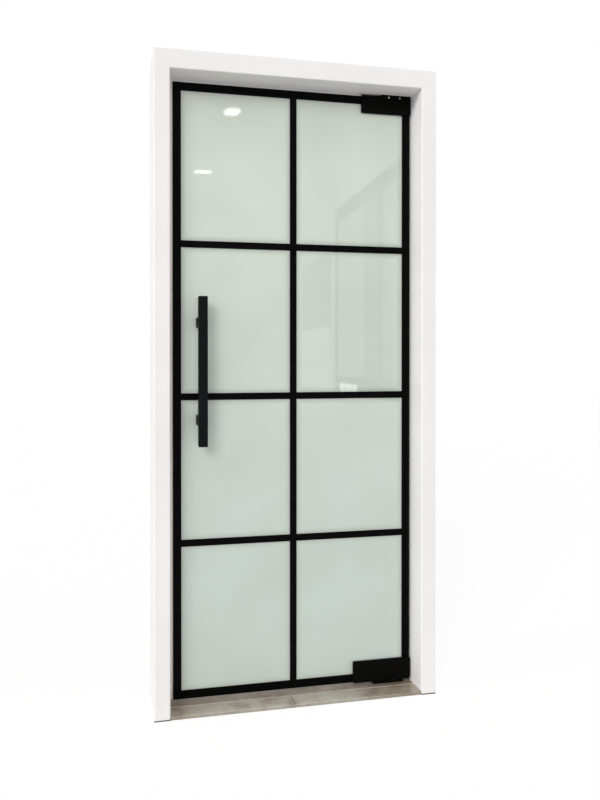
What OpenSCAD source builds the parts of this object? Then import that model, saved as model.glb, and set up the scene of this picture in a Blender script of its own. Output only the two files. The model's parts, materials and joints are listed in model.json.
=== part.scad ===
// Pivot door: an opal glass leaf with dark glazing strips, hung in a white box frame.
// The leaf turns both ways on a head pivot and on a self-closing floor pivot.
// The front is -Y, the closing edge is at -X, and Z is zero under the threshold.

/* [Leaf] */
// Width of the glass leaf
leaf_w = 845; // [700:1:1000]
// Height of the glass leaf
leaf_h = 2080; // [1900:1:2400]
// Thickness of the toughened pane
glass_t = 10; // [8:1:12]
// Heel edge of the leaf to the pivot axis
pivot_inset = 55; // [48:1:65]

/* [Gaps round the leaf] */
// Closing edge to the strike post, with room for the seal
strike_gap = 17; // [15:0.5:30]
// Heel edge to the hinge post
hinge_gap = 5; // [4:0.5:10]
// Top edge to the head rail
head_gap = 8; // [8:0.5:15]
// Bottom edge to the threshold
floor_gap = 12; // [11:0.5:20]

/* [Glazing strips] */
// Width of the strips along the leaf's edges
edge_strip_w = 28; // [20:0.5:40]
// Width of the strips between the panes
bar_w = 23; // [15:0.5:35]
// Thickness of every strip
strip_t = 4; // [2.5:0.5:6]
// Rounding of a strip's outer edges
strip_arris = 0.8; // [0.3:0.1:1.5]
// Hairline left where two strips butt
strip_joint = 0.2; // [0.1:0.1:1]
// Closing edge to the middle of the upright bar
upright_x = 416; // [300:1:550]
// Bottom edge to the middle of the low cross bar
low_bar_z = 526; // [300:1:700]
// Low cross bar to the middle one, centre to centre
mid_bar_rise = 495; // [350:1:650]
// Middle cross bar to the high one, centre to centre
high_bar_rise = 516; // [350:1:650]

/* [Frame] */
// Width of the posts seen from the front
post_face = 52; // [40:1:90]
// Height of the head rail seen from the front
head_face = 62; // [40:1:100]
// Depth of the frame, front to back
frame_depth = 230; // [180:1:320]
// Rounding of the frame's long edges
frame_arris = 4; // [1:0.5:8]
// Radius of the wall anchor holes
anchor_r = 5; // [3:0.5:7]
// Rear face of the frame to the anchor holes
anchor_edge = 45; // [25:1:80]
// Opening's ends to the outermost anchor holes
anchor_end = 220; // [120:1:400]
// Radius of the corner screws
corner_screw_r = 3; // [2:0.5:4]
// Length of the corner screws
corner_screw_l = 100; // [80:1:120]

/* [Threshold] */
// Thickness of the stone slabs
slab_t = 10; // [6:0.5:20]
// Depth of the slab under the leaf
centre_slab_w = 75; // [60:1:100]
// Width of the joints between the slabs
grout_w = 4; // [1:0.5:6]
// Rounding of the slabs' outer top edges
slab_arris = 1.5; // [0.5:0.5:3]
// Place of the seam between the two tiles of an outer slab, from the middle of the opening
tile_seam_x = -16; // [-200:1:200]
// Width of that seam
tile_seam_w = 1.5; // [0.5:0.5:3]

/* [Edge seal] */
// How far the seal reaches past the glass
seal_reach = 12; // [9:0.5:14]
// Wall of the hollow seal
seal_wall = 1.5; // [0.8:0.1:2.5]

/* [Top patch] */
// Length of the top patch along the leaf
top_patch_l = 182; // [165:1:230]
// Height of the top patch
top_patch_h = 62; // [60:1:85]
// Thickness of the top patch, cover to cover
top_patch_t = 32; // [28:1:36]
// How far the top patch stands above the glass
top_proud = 3; // [2:0.5:3.5]
// Length of the block round the pivot pin
top_boss_l = 34; // [28:1:44]

/* [Bottom patch] */
// Length of the bottom patch along the leaf
bottom_patch_l = 212; // [190:1:260]
// Height of the bottom patch
bottom_patch_h = 75; // [70:1:95]
// Thickness of the bottom patch, cover to cover
bottom_patch_t = 34; // [32:1:40]
// How far the bottom patch reaches below the glass
bottom_proud = 1.5; // [1:0.5:3]
// Pivot axis to the heel end of the closer block
spindle_boss = 22; // [20:0.5:26]
// Length of the bolted tongue beyond the closer block
closer_tongue_l = 24; // [18:1:32]

/* [Patch details] */
// Wall of the patch covers
cover_wall = 1.5; // [1:0.1:2]
// Room between a cover and the body inside it
cover_play = 0.5; // [0.2:0.1:1]
// Room between a cover's rim and the glass
rim_gap = 0.3; // [0.2:0.1:1]
// Rounding of the covers' front edges
cover_edge_r = 1.2; // [0.6:0.1:1.4]
// Rounding of the covers' plain corners
cover_corner_r = 3; // [2:0.5:5]
// Rounding of the covers' heel corner
heel_r = 8; // [5:0.5:12]
// Thickness of the gaskets on the glass
gasket_t = 1; // [0.5:0.1:2]
// Strip of glass that a patch grips
grip_w = 20; // [15:1:26]
// Room between a patch body and the notch in the glass
notch_play = 1.5; // [0.5:0.1:3]
// Inner corner radius of the notches
notch_r = 12; // [6:1:16]
// Space that lets a clamp plate close on the glass
clamp_gap = 0.3; // [0.2:0.1:0.6]
// Radius of the clamp bolts
clamp_bolt_r = 3; // [2.5:0.25:3.5]
// Radius of the clamp bolts' heads
clamp_head_r = 5; // [4.5:0.25:5.5]
// Height of the clamp bolts' heads
clamp_head_h = 4; // [3:0.25:5]

/* [Head pivot] */
// Length of the head plate
head_plate_l = 110; // [90:1:112]
// Width of the head plate
head_plate_w = 34; // [28:1:60]
// Thickness of the head plate
head_plate_t = 4; // [3:0.5:4.5]
// Radius of the pivot pin
pin_r = 6; // [5:0.5:7]
// How deep the pin stands in its bush
pin_engage = 22; // [15:1:30]
// Wall of the pivot bush
bush_wall = 3; // [2:0.5:4]
// Pivot axis to the inner head-plate screws
head_screw_x = 22; // [16:1:28]
// Spacing from the inner to the outer head-plate screws
head_screw_step = 22; // [16:1:24]

/* [Floor pivot] */
// Length of the floor plate
floor_plate_l = 111; // [90:1:140]
// Pivot axis to the heel end of the floor plate
floor_plate_heel = 30; // [26:1:45]
// Width of the floor plate
floor_plate_w = 28; // [26:1:44]
// Thickness of the floor plate
floor_plate_t = 7; // [5:0.5:9]
// Radius of the floor spindle
spindle_r = 8; // [6:0.5:9]
// How deep the spindle stands in the closer
spindle_engage = 40; // [30:1:42]
// Wall of the spindle bush
spindle_wall = 3; // [2:0.5:4]
// Width of the bush's thrust flange
flange_w = 2; // [1.5:0.5:3]

/* [Pull handle] */
// Length of a pull bar
pull_l = 500; // [400:1:700]
// Width and depth of the square bar
pull_w = 30; // [20:1:34]
// Rounding of the bar's edges
pull_arris = 2; // [1:0.5:4]
// Closing edge to the middle of the bar
pull_inset = 95; // [70:1:160]
// Middle cross bar up to the middle of the handle
pull_rise = 86; // [40:1:120]
// Spacing of the stand-off posts
pull_pitch = 328; // [300:1:380]
// Width of a stand-off post
post_w = 34; // [26:1:40]
// Stand-off of the bar from its pads
post_l = 42; // [30:1:60]
// Thickness of the pads on the glass
pad_t = 1; // [0.5:0.1:2]
// Radius of the through bolts
pull_bolt_r = 4; // [3:0.5:5]
// How deep a through bolt stands in a post
pull_bolt_in = 24; // [15:1:28]
// Wall of the sleeves in the glass
sleeve_wall = 3; // [1.5:0.5:4]

/* [Hidden] */
// Running clearance of the pivots and slip clearance of fixed pins, screws and sleeves
run_clear = 0.05;
slip_clear = 0.05;
// Lift that keeps turning flanges off the plates
flange_lift = 0.4;
// Room between a cover and the bush flange that passes it
flange_play = 2;
// Plate screws: shank, head and lengths into head rail and threshold
plate_screw_r = 2.25;
plate_screw_head_r = 4.5;
plate_screw_head_h = 2.4;
head_screw_l = 36;
floor_screw_rest = 1;
// Screw rows on the floor plate, in from its edges
floor_screw_edge = 8;
// Rounding of the plates' corners
plate_corner_r = 3;
// Lead-in chamfer on pins and spindle
lead_in = 1.5;
// Cuts run past the solid by this much
overrun = 1;
$fn = 64;

frame_white = "#f0edec";
strip_black = "#101010";
patch_black = "#141414";
steel = "#b9bcbd";
opal = "#cdd8ce";
stone = "#8f877a";
grout = "#c9c2b4";

open_w = strike_gap + leaf_w + hinge_gap;
open_h = floor_gap + leaf_h + head_gap;
frame_w = open_w + 2 * post_face;
soffit_z = slab_t + open_h;
frame_top = soffit_z + head_face;
leaf_x0 = strike_gap - open_w / 2;
leaf_x1 = leaf_x0 + leaf_w;
leaf_z0 = slab_t + floor_gap;
leaf_z1 = leaf_z0 + leaf_h;
pivot_x = leaf_x1 - pivot_inset;
upright = leaf_x0 + upright_x;
mid_bar_z = low_bar_z + mid_bar_rise;
bar_zs = [low_bar_z, mid_bar_z, mid_bar_z + high_bar_rise];
pull_x = leaf_x0 + pull_inset;
pull_z = leaf_z0 + mid_bar_z + pull_rise;
pull_post_zs = [pull_z - pull_pitch / 2, pull_z + pull_pitch / 2];
pad_y = glass_t / 2 + pad_t;
pull_y = pad_y + post_l;
cover_inset = cover_wall + cover_play;
grip_y = glass_t / 2 + gasket_t;
rim_y = glass_t / 2 + rim_gap;
bush_r = pin_r + bush_wall;
spindle_bush_r = spindle_r + spindle_wall;
anchor_y = frame_depth / 2 - anchor_edge;
anchor_count = 4;
anchor_pitch = (open_h - 2 * anchor_end) / (anchor_count - 1);
corner_screw_x = (open_w + post_face) / 2;
corner_screw_y = frame_depth / 4;
floor_plate_z = slab_t + floor_plate_t;

// Glass notch behind a patch, measured from the leaf's corner
function notch_l(patch_l) = patch_l - cover_inset - grip_w;
function notch_h(patch_h, proud) = patch_h - proud - cover_inset - grip_w;
// Half the thickness of a patch body under its covers
function core_y(patch_t) = patch_t / 2 - cover_inset;
// Middle height of the block in a notch
function tongue_z(patch_h, proud) = (notch_h(patch_h, proud) - notch_play - proud + cover_inset) / 2;

top_core_y = core_y(top_patch_t);
bottom_core_y = core_y(bottom_patch_t);
top_boss = [pivot_inset - top_boss_l / 2, pivot_inset + top_boss_l / 2];
closer_end = notch_l(bottom_patch_l) - notch_play - closer_tongue_l;
bottom_boss = [pivot_inset - spindle_boss, closer_end];
top_tongue_end = notch_l(top_patch_l) - notch_play;
top_tongue_l = top_tongue_end - top_boss[1];
top_bolt_z = tongue_z(top_patch_h, top_proud);
bottom_bolt_z = tongue_z(bottom_patch_h, bottom_proud);
top_bolts = [
    [(cover_inset + top_boss[0]) / 2, top_bolt_z],
    [top_boss[1] + top_tongue_l / 4, top_bolt_z],
    [top_tongue_end - top_tongue_l / 4, top_bolt_z]
];
bottom_bolts = [
    [(cover_inset + bottom_boss[0]) / 2, bottom_bolt_z],
    [closer_end + closer_tongue_l / 2, bottom_bolt_z / 2],
    [closer_end + closer_tongue_l / 2, bottom_bolt_z * 3 / 2]
];

// Waste outside a round corner of radius r; the corner is at the origin and the body lies in +x and +y.
module corner_cut(r) {
    difference() {
        translate([-overrun, -overrun])
            square(r + overrun);
        translate([r, r])
            circle(r);
    }
}

// Rectangle from the origin; first_r rounds the corner at the origin and r the other three.
module corner_rect(w, h, first_r, r) {
    difference() {
        square([w, h]);
        corner_cut(first_r);
        translate([w, 0])
            mirror([1, 0])
                corner_cut(r);
        translate([0, h])
            mirror([0, 1])
                corner_cut(r);
        translate([w, h])
            rotate(180)
                corner_cut(r);
    }
}

// Rectangle centred on the origin with four round corners.
module round_rect(w, h, r) {
    translate([-w / 2, -h / 2])
        corner_rect(w, h, r, r);
}

// Flat bar section, its back on the x axis, with the two outer edges rounded.
module strip_section(w) {
    difference() {
        translate([-w / 2, -strip_t])
            square([w, strip_t]);
        for (side = [0, 1])
            mirror([side, 0])
                translate([-w / 2, -strip_t])
                    corner_cut(strip_arris);
    }
}

// Outline drawn in x and z, made solid from y0 to y1.
module plate_between(y0, y1) {
    translate([0, y1, 0])
        rotate([90, 0, 0])
            linear_extrude(y1 - y0)
                children();
}

// Countersunk screw along -Z, its head's face at the origin; grow widens it for the hole.
module screw(shank_r, head_r, head_h, length, grow = 0) {
    rotate_extrude()
        polygon([
            [0, 0],
            [head_r + grow, 0],
            [shank_r + grow, -head_h],
            [shank_r + grow, -length - grow],
            [0, -length - grow]
        ]);
}

module on_rear() {
    mirror([0, 1, 0])
        children();
}

// Corner frames of the leaf: x runs from the heel edge along the leaf, z from the edge into it.
module at_bottom_corner() {
    translate([leaf_x1, 0, leaf_z0])
        mirror([1, 0, 0])
            children();
}

module at_top_corner() {
    translate([leaf_x1, 0, leaf_z1])
        mirror([1, 0, 0])
            mirror([0, 0, 1])
                children();
}

// Part of the outer stone slab from x0 to x1, its outer edge rounded on top.
module outer_tile(x0, x1) {
    slab_d = (frame_depth - centre_slab_w) / 2 - grout_w;
    translate([x0, -frame_depth / 2, 0])
        rotate([90, 0, 90])
            linear_extrude(x1 - x0)
                difference() {
                    square([slab_d, slab_t]);
                    translate([0, slab_t])
                        mirror([0, 1])
                            corner_cut(slab_arris);
                }
}

// Outer slab of two tiles between the posts, with an open seam.
module outer_slab() {
    outer_tile(-open_w / 2, tile_seam_x - tile_seam_w / 2);
    outer_tile(tile_seam_x + tile_seam_w / 2, open_w / 2);
}

module threshold_front() {
    color(stone)
        outer_slab();
}

module threshold_rear() {
    color(stone)
        on_rear()
            outer_slab();
}

module threshold_centre() {
    color(stone)
        difference() {
            translate([-open_w / 2, -centre_slab_w / 2, 0])
                cube([open_w, centre_slab_w, slab_t]);
            floor_screws(slip_clear);
        }
}

module threshold_grout() {
    color(grout)
        for (y = [-centre_slab_w / 2 - grout_w, centre_slab_w / 2])
            translate([-open_w / 2, y, 0])
                cube([open_w, grout_w, slab_t]);
}

// Front view of a post, run past its faces and cut along the mitre.
module post_side() {
    slope = head_face / post_face;
    polygon([
        [open_w / 2 - overrun, -overrun],
        [frame_w / 2 + overrun, -overrun],
        [frame_w / 2 + overrun, frame_top + overrun * slope],
        [open_w / 2 - overrun, soffit_z - overrun * slope]
    ]);
}

// Post on the pivot side; the strike post is its mirror image.
module frame_post() {
    difference() {
        intersection() {
            translate([(open_w + post_face) / 2, 0, 0])
                linear_extrude(frame_top)
                    round_rect(post_face, frame_depth, frame_arris);
            plate_between(-frame_depth, frame_depth)
                post_side();
        }
        for (i = [0 : anchor_count - 1])
            translate([open_w / 2 - overrun, anchor_y, slab_t + anchor_end + i * anchor_pitch])
                rotate([0, 90, 0])
                    cylinder(h = post_face + 2 * overrun, r = anchor_r);
        corner_screw_set(slip_clear);
    }
}

module strike_post() {
    color(frame_white)
        mirror([1, 0, 0])
            frame_post();
}

module hinge_post() {
    color(frame_white)
        frame_post();
}

module head_rail() {
    slope = head_face / post_face;
    color(frame_white)
        difference() {
            intersection() {
                translate([-frame_w / 2, 0, soffit_z + head_face / 2])
                    rotate([90, 0, 90])
                        linear_extrude(frame_w)
                            round_rect(frame_depth, head_face, frame_arris);
                plate_between(-frame_depth, frame_depth)
                    polygon([
                        [-frame_w / 2 - overrun, frame_top + overrun * slope],
                        [frame_w / 2 + overrun, frame_top + overrun * slope],
                        [open_w / 2 - overrun, soffit_z - overrun * slope],
                        [overrun - open_w / 2, soffit_z - overrun * slope]
                    ]);
            }
            corner_screw_set(slip_clear);
            head_screws(slip_clear);
        }
}

// Two long screws down through each mitre.
module corner_screw_set(grow = 0) {
    for (sx = [-1, 1], sy = [-1, 1])
        translate([sx * corner_screw_x, sy * corner_screw_y, frame_top])
            screw(corner_screw_r, 2 * corner_screw_r, corner_screw_r, corner_screw_l, grow);
}

module corner_screws() {
    color(steel)
        corner_screw_set();
}

// Screws up through the head plate into the rail.
module head_screws(grow = 0) {
    for (side = [-1, 1], step = [0, head_screw_step])
        translate([pivot_x + side * (head_screw_x + step), 0, soffit_z - head_plate_t])
            mirror([0, 0, 1])
                screw(plate_screw_r, plate_screw_head_r, plate_screw_head_h, head_screw_l, grow);
}

module head_pivot_plate() {
    color(patch_black)
        difference() {
            translate([pivot_x, 0, soffit_z - head_plate_t])
                linear_extrude(head_plate_t)
                    round_rect(head_plate_l, head_plate_w, plate_corner_r);
            translate([pivot_x, 0, soffit_z - head_plate_t - overrun])
                cylinder(h = head_plate_t + 2 * overrun, r = pin_r + slip_clear);
            head_screws(slip_clear);
        }
}

module head_pivot_pin() {
    core_top = leaf_z1 + top_proud - cover_inset;
    pin_l = soffit_z - core_top + pin_engage;
    color(steel)
        translate([pivot_x, 0, soffit_z])
            rotate_extrude()
                polygon([
                    [0, 0],
                    [pin_r, 0],
                    [pin_r, lead_in - pin_l],
                    [pin_r - lead_in, -pin_l],
                    [0, -pin_l]
                ]);
}

module head_pivot_screws() {
    color(steel)
        head_screws();
}

// Screws down through the floor plate into the slab.
module floor_screws(grow = 0) {
    screw_l = floor_plate_t + slab_t - floor_screw_rest;
    for (x = [floor_screw_edge - floor_plate_l + floor_plate_heel, floor_plate_heel - floor_screw_edge])
        for (y = [-1, 1])
            translate([pivot_x + x, y * (floor_plate_w / 2 - floor_screw_edge), floor_plate_z])
                screw(plate_screw_r, plate_screw_head_r, plate_screw_head_h, screw_l, grow);
}

module floor_pivot_plate() {
    color(patch_black)
        difference() {
            translate([pivot_x + floor_plate_heel - floor_plate_l / 2, 0, slab_t])
                linear_extrude(floor_plate_t)
                    round_rect(floor_plate_l, floor_plate_w, plate_corner_r);
            translate([pivot_x, 0, slab_t - overrun])
                cylinder(h = floor_plate_t + 2 * overrun, r = spindle_r + slip_clear);
            floor_screws(slip_clear);
        }
}

module floor_spindle() {
    spindle_l = leaf_z0 - bottom_proud + cover_inset + spindle_engage - slab_t;
    color(steel)
        translate([pivot_x, 0, slab_t])
            rotate_extrude()
                polygon([
                    [0, 0],
                    [spindle_r, 0],
                    [spindle_r, spindle_l - lead_in],
                    [spindle_r - lead_in, spindle_l],
                    [0, spindle_l]
                ]);
}

module floor_pivot_screws() {
    color(steel)
        floor_screws();
}

// Notch cut out of a leaf corner, from the corner at the origin, with a round inner corner.
module notch_outline(l, h, r) {
    difference() {
        translate([-overrun, -overrun])
            square([l + overrun, h + overrun]);
        translate([l, h])
            rotate(180)
                corner_cut(r);
    }
}

module glass_pane() {
    color(opal)
        difference() {
            translate([leaf_x0, -glass_t / 2, leaf_z0])
                cube([leaf_w, glass_t, leaf_h]);
            at_bottom_corner()
                plate_between(-glass_t, glass_t)
                    notch_outline(notch_l(bottom_patch_l), notch_h(bottom_patch_h, bottom_proud), notch_r);
            at_top_corner()
                plate_between(-glass_t, glass_t)
                    notch_outline(notch_l(top_patch_l), notch_h(top_patch_h, top_proud), notch_r);
            for (z = pull_post_zs)
                translate([pull_x, glass_t, z])
                    rotate([90, 0, 0])
                        cylinder(h = 2 * glass_t, r = pull_bolt_r + sleeve_wall + 2 * slip_clear);
        }
}

// Hollow bulb on the closing edge, as deep as the glass is thick.
module edge_seal() {
    outer_r = glass_t / 2;
    inner_r = outer_r - seal_wall;
    neck = seal_reach - outer_r;
    color("#afa69f", 0.8)
        translate([leaf_x0, 0, leaf_z0])
            linear_extrude(leaf_h)
                difference() {
                    union() {
                        translate([-neck, 0])
                            circle(outer_r);
                        translate([-neck, -outer_r])
                            square([neck, glass_t]);
                    }
                    translate([-neck, 0])
                        circle(inner_r);
                    translate([-neck, -inner_r])
                        square([neck - seal_wall, 2 * inner_r]);
                }
}

// Strip up the front face of the glass, centred on x, from z0 to z1.
module upright_strip(x, z0, z1, w) {
    color(strip_black)
        translate([x, -glass_t / 2, z0])
            linear_extrude(z1 - z0)
                strip_section(w);
}

// Strip across the front face of the glass, centred on z, from x0 to x1.
module level_strip(z, x0, x1, w) {
    color(strip_black)
        translate([x0, -glass_t / 2, z])
            rotate([0, 90, 0])
                linear_extrude(x1 - x0)
                    strip_section(w);
}

module left_stile() {
    upright_strip(leaf_x0 + edge_strip_w / 2, leaf_z0, leaf_z1, edge_strip_w);
}

module right_stile() {
    low = leaf_z0 + bottom_patch_h - bottom_proud + strip_joint;
    high = leaf_z1 - top_patch_h + top_proud - strip_joint;
    upright_strip(leaf_x1 - edge_strip_w / 2, low, high, edge_strip_w);
}

module top_rail() {
    level_strip(
        leaf_z1 - edge_strip_w / 2,
        leaf_x0 + edge_strip_w + strip_joint,
        leaf_x1 - top_patch_l - strip_joint,
        edge_strip_w
    );
}

module bottom_rail() {
    level_strip(
        leaf_z0 + edge_strip_w / 2,
        leaf_x0 + edge_strip_w + strip_joint,
        leaf_x1 - bottom_patch_l - strip_joint,
        edge_strip_w
    );
}

module upright_bar() {
    inset = edge_strip_w + strip_joint;
    upright_strip(upright, leaf_z0 + inset, leaf_z1 - inset, bar_w);
}

// Cross bar on the closing side of the upright; level is 0 low, 1 middle, 2 high.
module left_bar(level) {
    level_strip(
        leaf_z0 + bar_zs[level],
        leaf_x0 + edge_strip_w + strip_joint,
        upright - bar_w / 2 - strip_joint,
        bar_w
    );
}

module right_bar(level) {
    level_strip(
        leaf_z0 + bar_zs[level],
        upright + bar_w / 2 + strip_joint,
        leaf_x1 - edge_strip_w - strip_joint,
        bar_w
    );
}

// Outline of a patch in its corner frame, set in by inset all round.
module patch_outline(l, h, proud, inset) {
    translate([inset, inset - proud])
        corner_rect(l - 2 * inset, h - 2 * inset, heel_r - inset, max(cover_corner_r - inset, slip_clear));
}

// Cuts for the clamp bolts through everything that they hold; grow widens shank and head.
module clamp_bolt_set(places, half_t, grow = 0) {
    tip = half_t - cover_inset;
    for (place = places)
        translate([place[0], -half_t, place[1]])
            rotate([-90, 0, 0]) {
                cylinder(h = half_t + tip, r = clamp_bolt_r + grow);
                cylinder(h = clamp_head_h, r = clamp_head_r + grow);
            }
}

// Patch casting: rear flange, block in the glass notch and thick boss, with the socket for a bush.
module patch_core(l, h, proud, half_t, boss, places, socket_r, socket_d) {
    block_l = notch_l(l) - notch_play;
    block_h = notch_h(h, proud) - notch_play;
    low = cover_inset - proud;
    difference() {
        union() {
            plate_between(grip_y, half_t)
                patch_outline(l, h, proud, cover_inset);
            plate_between(clamp_gap - grip_y, grip_y)
                intersection() {
                    patch_outline(l, h, proud, cover_inset);
                    notch_outline(block_l, block_h, notch_r);
                    translate([0, low])
                        square([block_l, block_h - low]);
                }
            translate([boss[0], -half_t, low])
                cube([boss[1] - boss[0], 2 * half_t, block_h - low]);
        }
        translate([pivot_inset, 0, low - overrun])
            cylinder(h = socket_d + overrun, r = socket_r + slip_clear);
        clamp_bolt_set(places, half_t, slip_clear);
    }
}

// Front plate that presses the glass against the casting, open round the boss.
module patch_clamp(l, h, proud, half_t, boss, places) {
    window_h = notch_h(h, proud) - notch_play + clamp_gap;
    difference() {
        plate_between(-half_t, -grip_y)
            difference() {
                patch_outline(l, h, proud, cover_inset);
                translate([boss[0] - clamp_gap, -proud])
                    square([boss[1] - boss[0] + 2 * clamp_gap, window_h + proud]);
            }
        clamp_bolt_set(places, half_t, slip_clear);
    }
}

// Gaskets on both faces of the glass round the notch.
module patch_gaskets(l, h, proud) {
    for (side = [0, 1])
        mirror([0, side, 0])
            plate_between(-grip_y, -glass_t / 2)
                difference() {
                    patch_outline(l, h, proud, cover_inset);
                    translate([0, -proud])
                        square([notch_l(l), notch_h(h, proud) + proud]);
                }
}

// Front cover: a pan with rolled front edges that hides the clamp and leaves the pivot free.
module patch_cover(l, h, proud, t, free_r) {
    depth = t / 2 - rim_y;
    difference() {
        intersection() {
            plate_between(-t / 2, -rim_y)
                patch_outline(l, h, proud, 0);
            translate([0, -t / 2, -proud])
                linear_extrude(h)
                    cover_section(l, depth);
            translate([0, -t / 2, -proud])
                rotate([0, 90, 0])
                    mirror([1, 0, 0])
                        linear_extrude(l)
                            cover_section(h, depth);
        }
        plate_between(cover_wall - t / 2, overrun - rim_y)
            patch_outline(l, h, proud, cover_wall);
        translate([pivot_inset, 0, -proud - overrun])
            cylinder(h = cover_wall + 2 * overrun, r = free_r);
    }
}

// Section across a cover, its front on the x axis and both front corners rounded.
module cover_section(w, depth) {
    difference() {
        square([w, depth]);
        corner_cut(cover_edge_r);
        translate([w, 0])
            mirror([1, 0])
                corner_cut(cover_edge_r);
    }
}

// Bush in a socket, standing out of the casting by flange_t as a thrust flange; z runs into the leaf.
module flanged_bush(bore_r, outer_r, length, flange_t) {
    rotate_extrude()
        polygon([
            [bore_r + run_clear, -flange_t],
            [outer_r + flange_w, -flange_t],
            [outer_r + flange_w, 0],
            [outer_r, 0],
            [outer_r, length],
            [bore_r + run_clear, length]
        ]);
}

module top_patch_body() {
    color(patch_black)
        at_top_corner()
            patch_core(
                top_patch_l, top_patch_h, top_proud, top_core_y, top_boss, top_bolts,
                bush_r, pin_engage + cover_inset
            );
}

module top_patch_clamp() {
    color(patch_black)
        at_top_corner()
            patch_clamp(top_patch_l, top_patch_h, top_proud, top_core_y, top_boss, top_bolts);
}

module top_patch_gaskets() {
    color("dimgray")
        at_top_corner()
            patch_gaskets(top_patch_l, top_patch_h, top_proud);
}

module top_patch_bolts() {
    color(steel)
        at_top_corner()
            clamp_bolt_set(top_bolts, top_core_y);
}

module top_patch_front_cover() {
    color(patch_black)
        at_top_corner()
            patch_cover(top_patch_l, top_patch_h, top_proud, top_patch_t, bush_r + flange_w + flange_play);
}

module top_patch_rear_cover() {
    color(patch_black)
        on_rear()
            at_top_corner()
                patch_cover(top_patch_l, top_patch_h, top_proud, top_patch_t, bush_r + flange_w + flange_play);
}

module head_pivot_bush() {
    core_top = leaf_z1 + top_proud - cover_inset;
    flange_t = soffit_z - head_plate_t - core_top - flange_lift;
    color("darkgoldenrod")
        translate([pivot_x, 0, core_top])
            mirror([0, 0, 1])
                flanged_bush(pin_r, bush_r, pin_engage + cover_inset, flange_t);
}

module closer_housing() {
    color(patch_black)
        at_bottom_corner()
            patch_core(
                bottom_patch_l, bottom_patch_h, bottom_proud, bottom_core_y, bottom_boss, bottom_bolts,
                spindle_bush_r, spindle_engage + cover_inset
            );
}

module bottom_patch_clamp() {
    color(patch_black)
        at_bottom_corner()
            patch_clamp(bottom_patch_l, bottom_patch_h, bottom_proud, bottom_core_y, bottom_boss, bottom_bolts);
}

module bottom_patch_gaskets() {
    color("dimgray")
        at_bottom_corner()
            patch_gaskets(bottom_patch_l, bottom_patch_h, bottom_proud);
}

module bottom_patch_bolts() {
    color(steel)
        at_bottom_corner()
            clamp_bolt_set(bottom_bolts, bottom_core_y);
}

module bottom_patch_front_cover() {
    color(patch_black)
        at_bottom_corner()
            patch_cover(
                bottom_patch_l, bottom_patch_h, bottom_proud, bottom_patch_t,
                spindle_bush_r + flange_w + flange_play
            );
}

module bottom_patch_rear_cover() {
    color(patch_black)
        on_rear()
            at_bottom_corner()
                patch_cover(
                    bottom_patch_l, bottom_patch_h, bottom_proud, bottom_patch_t,
                    spindle_bush_r + flange_w + flange_play
                );
}

module spindle_bush() {
    core_low = leaf_z0 - bottom_proud + cover_inset;
    color("darkgoldenrod")
        translate([pivot_x, 0, core_low])
            flanged_bush(
                spindle_r, spindle_bush_r, spindle_engage + cover_inset, core_low - floor_plate_z - flange_lift
            );
}

// Square bar in front of the leaf, its edges and ends rounded alike.
module pull_bar() {
    color(patch_black)
        translate([pull_x, -pull_y - pull_w / 2, pull_z])
            intersection() {
                translate([0, 0, -pull_l / 2])
                    linear_extrude(pull_l)
                        round_rect(pull_w, pull_w, pull_arris);
                plate_between(-pull_w, pull_w)
                    round_rect(pull_w, pull_l, pull_arris);
            }
}

// Square stand-offs between the pads and the bar, drilled for the through bolts.
module pull_posts() {
    color(patch_black)
        for (z = pull_post_zs)
            translate([pull_x, 0, z])
                difference() {
                    plate_between(-pull_y, -pad_y)
                        round_rect(post_w, post_w, plate_corner_r);
                    translate([0, -pad_y + overrun, 0])
                        rotate([90, 0, 0])
                            cylinder(h = pull_bolt_in + 2 * overrun, r = pull_bolt_r + slip_clear);
                }
}

module pull_pads() {
    color("dimgray")
        for (z = pull_post_zs, side = [0, 1])
            mirror([0, side, 0])
                translate([pull_x, 0, z])
                    plate_between(-pad_y, -glass_t / 2)
                        difference() {
                            round_rect(post_w, post_w, plate_corner_r);
                            circle(pull_bolt_r + sleeve_wall);
                        }
}

module pull_bolts() {
    color(steel)
        for (z = pull_post_zs)
            translate([pull_x, pad_y + pull_bolt_in, z])
                rotate([90, 0, 0])
                    cylinder(h = 2 * (pad_y + pull_bolt_in), r = pull_bolt_r);
}

module pull_sleeves() {
    color("ivory")
        for (z = pull_post_zs)
            translate([pull_x, glass_t / 2, z])
                rotate([90, 0, 0])
                    difference() {
                        cylinder(h = glass_t, r = pull_bolt_r + sleeve_wall);
                        translate([0, 0, -overrun])
                            cylinder(h = glass_t + 2 * overrun, r = pull_bolt_r + slip_clear);
                    }
}

threshold_front();
threshold_centre();
threshold_rear();
threshold_grout();
strike_post();
hinge_post();
head_rail();
corner_screws();
head_pivot_plate();
head_pivot_pin();
head_pivot_screws();
floor_pivot_plate();
floor_spindle();
floor_pivot_screws();
glass_pane();
edge_seal();
left_stile();  // front_left_stile
right_stile();  // front_right_stile
top_rail();  // front_top_rail
bottom_rail();  // front_bottom_rail
upright_bar();  // front_upright_bar
left_bar(0);  // front_low_left_bar
right_bar(0);  // front_low_right_bar
left_bar(1);  // front_mid_left_bar
right_bar(1);  // front_mid_right_bar
left_bar(2);  // front_high_left_bar
right_bar(2);  // front_high_right_bar
on_rear() left_stile();  // rear_left_stile
on_rear() right_stile();  // rear_right_stile
on_rear() top_rail();  // rear_top_rail
on_rear() bottom_rail();  // rear_bottom_rail
on_rear() upright_bar();  // rear_upright_bar
on_rear() left_bar(0);  // rear_low_left_bar
on_rear() right_bar(0);  // rear_low_right_bar
on_rear() left_bar(1);  // rear_mid_left_bar
on_rear() right_bar(1);  // rear_mid_right_bar
on_rear() left_bar(2);  // rear_high_left_bar
on_rear() right_bar(2);  // rear_high_right_bar
top_patch_body();
top_patch_clamp();
top_patch_gaskets();
top_patch_bolts();
top_patch_front_cover();
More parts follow.
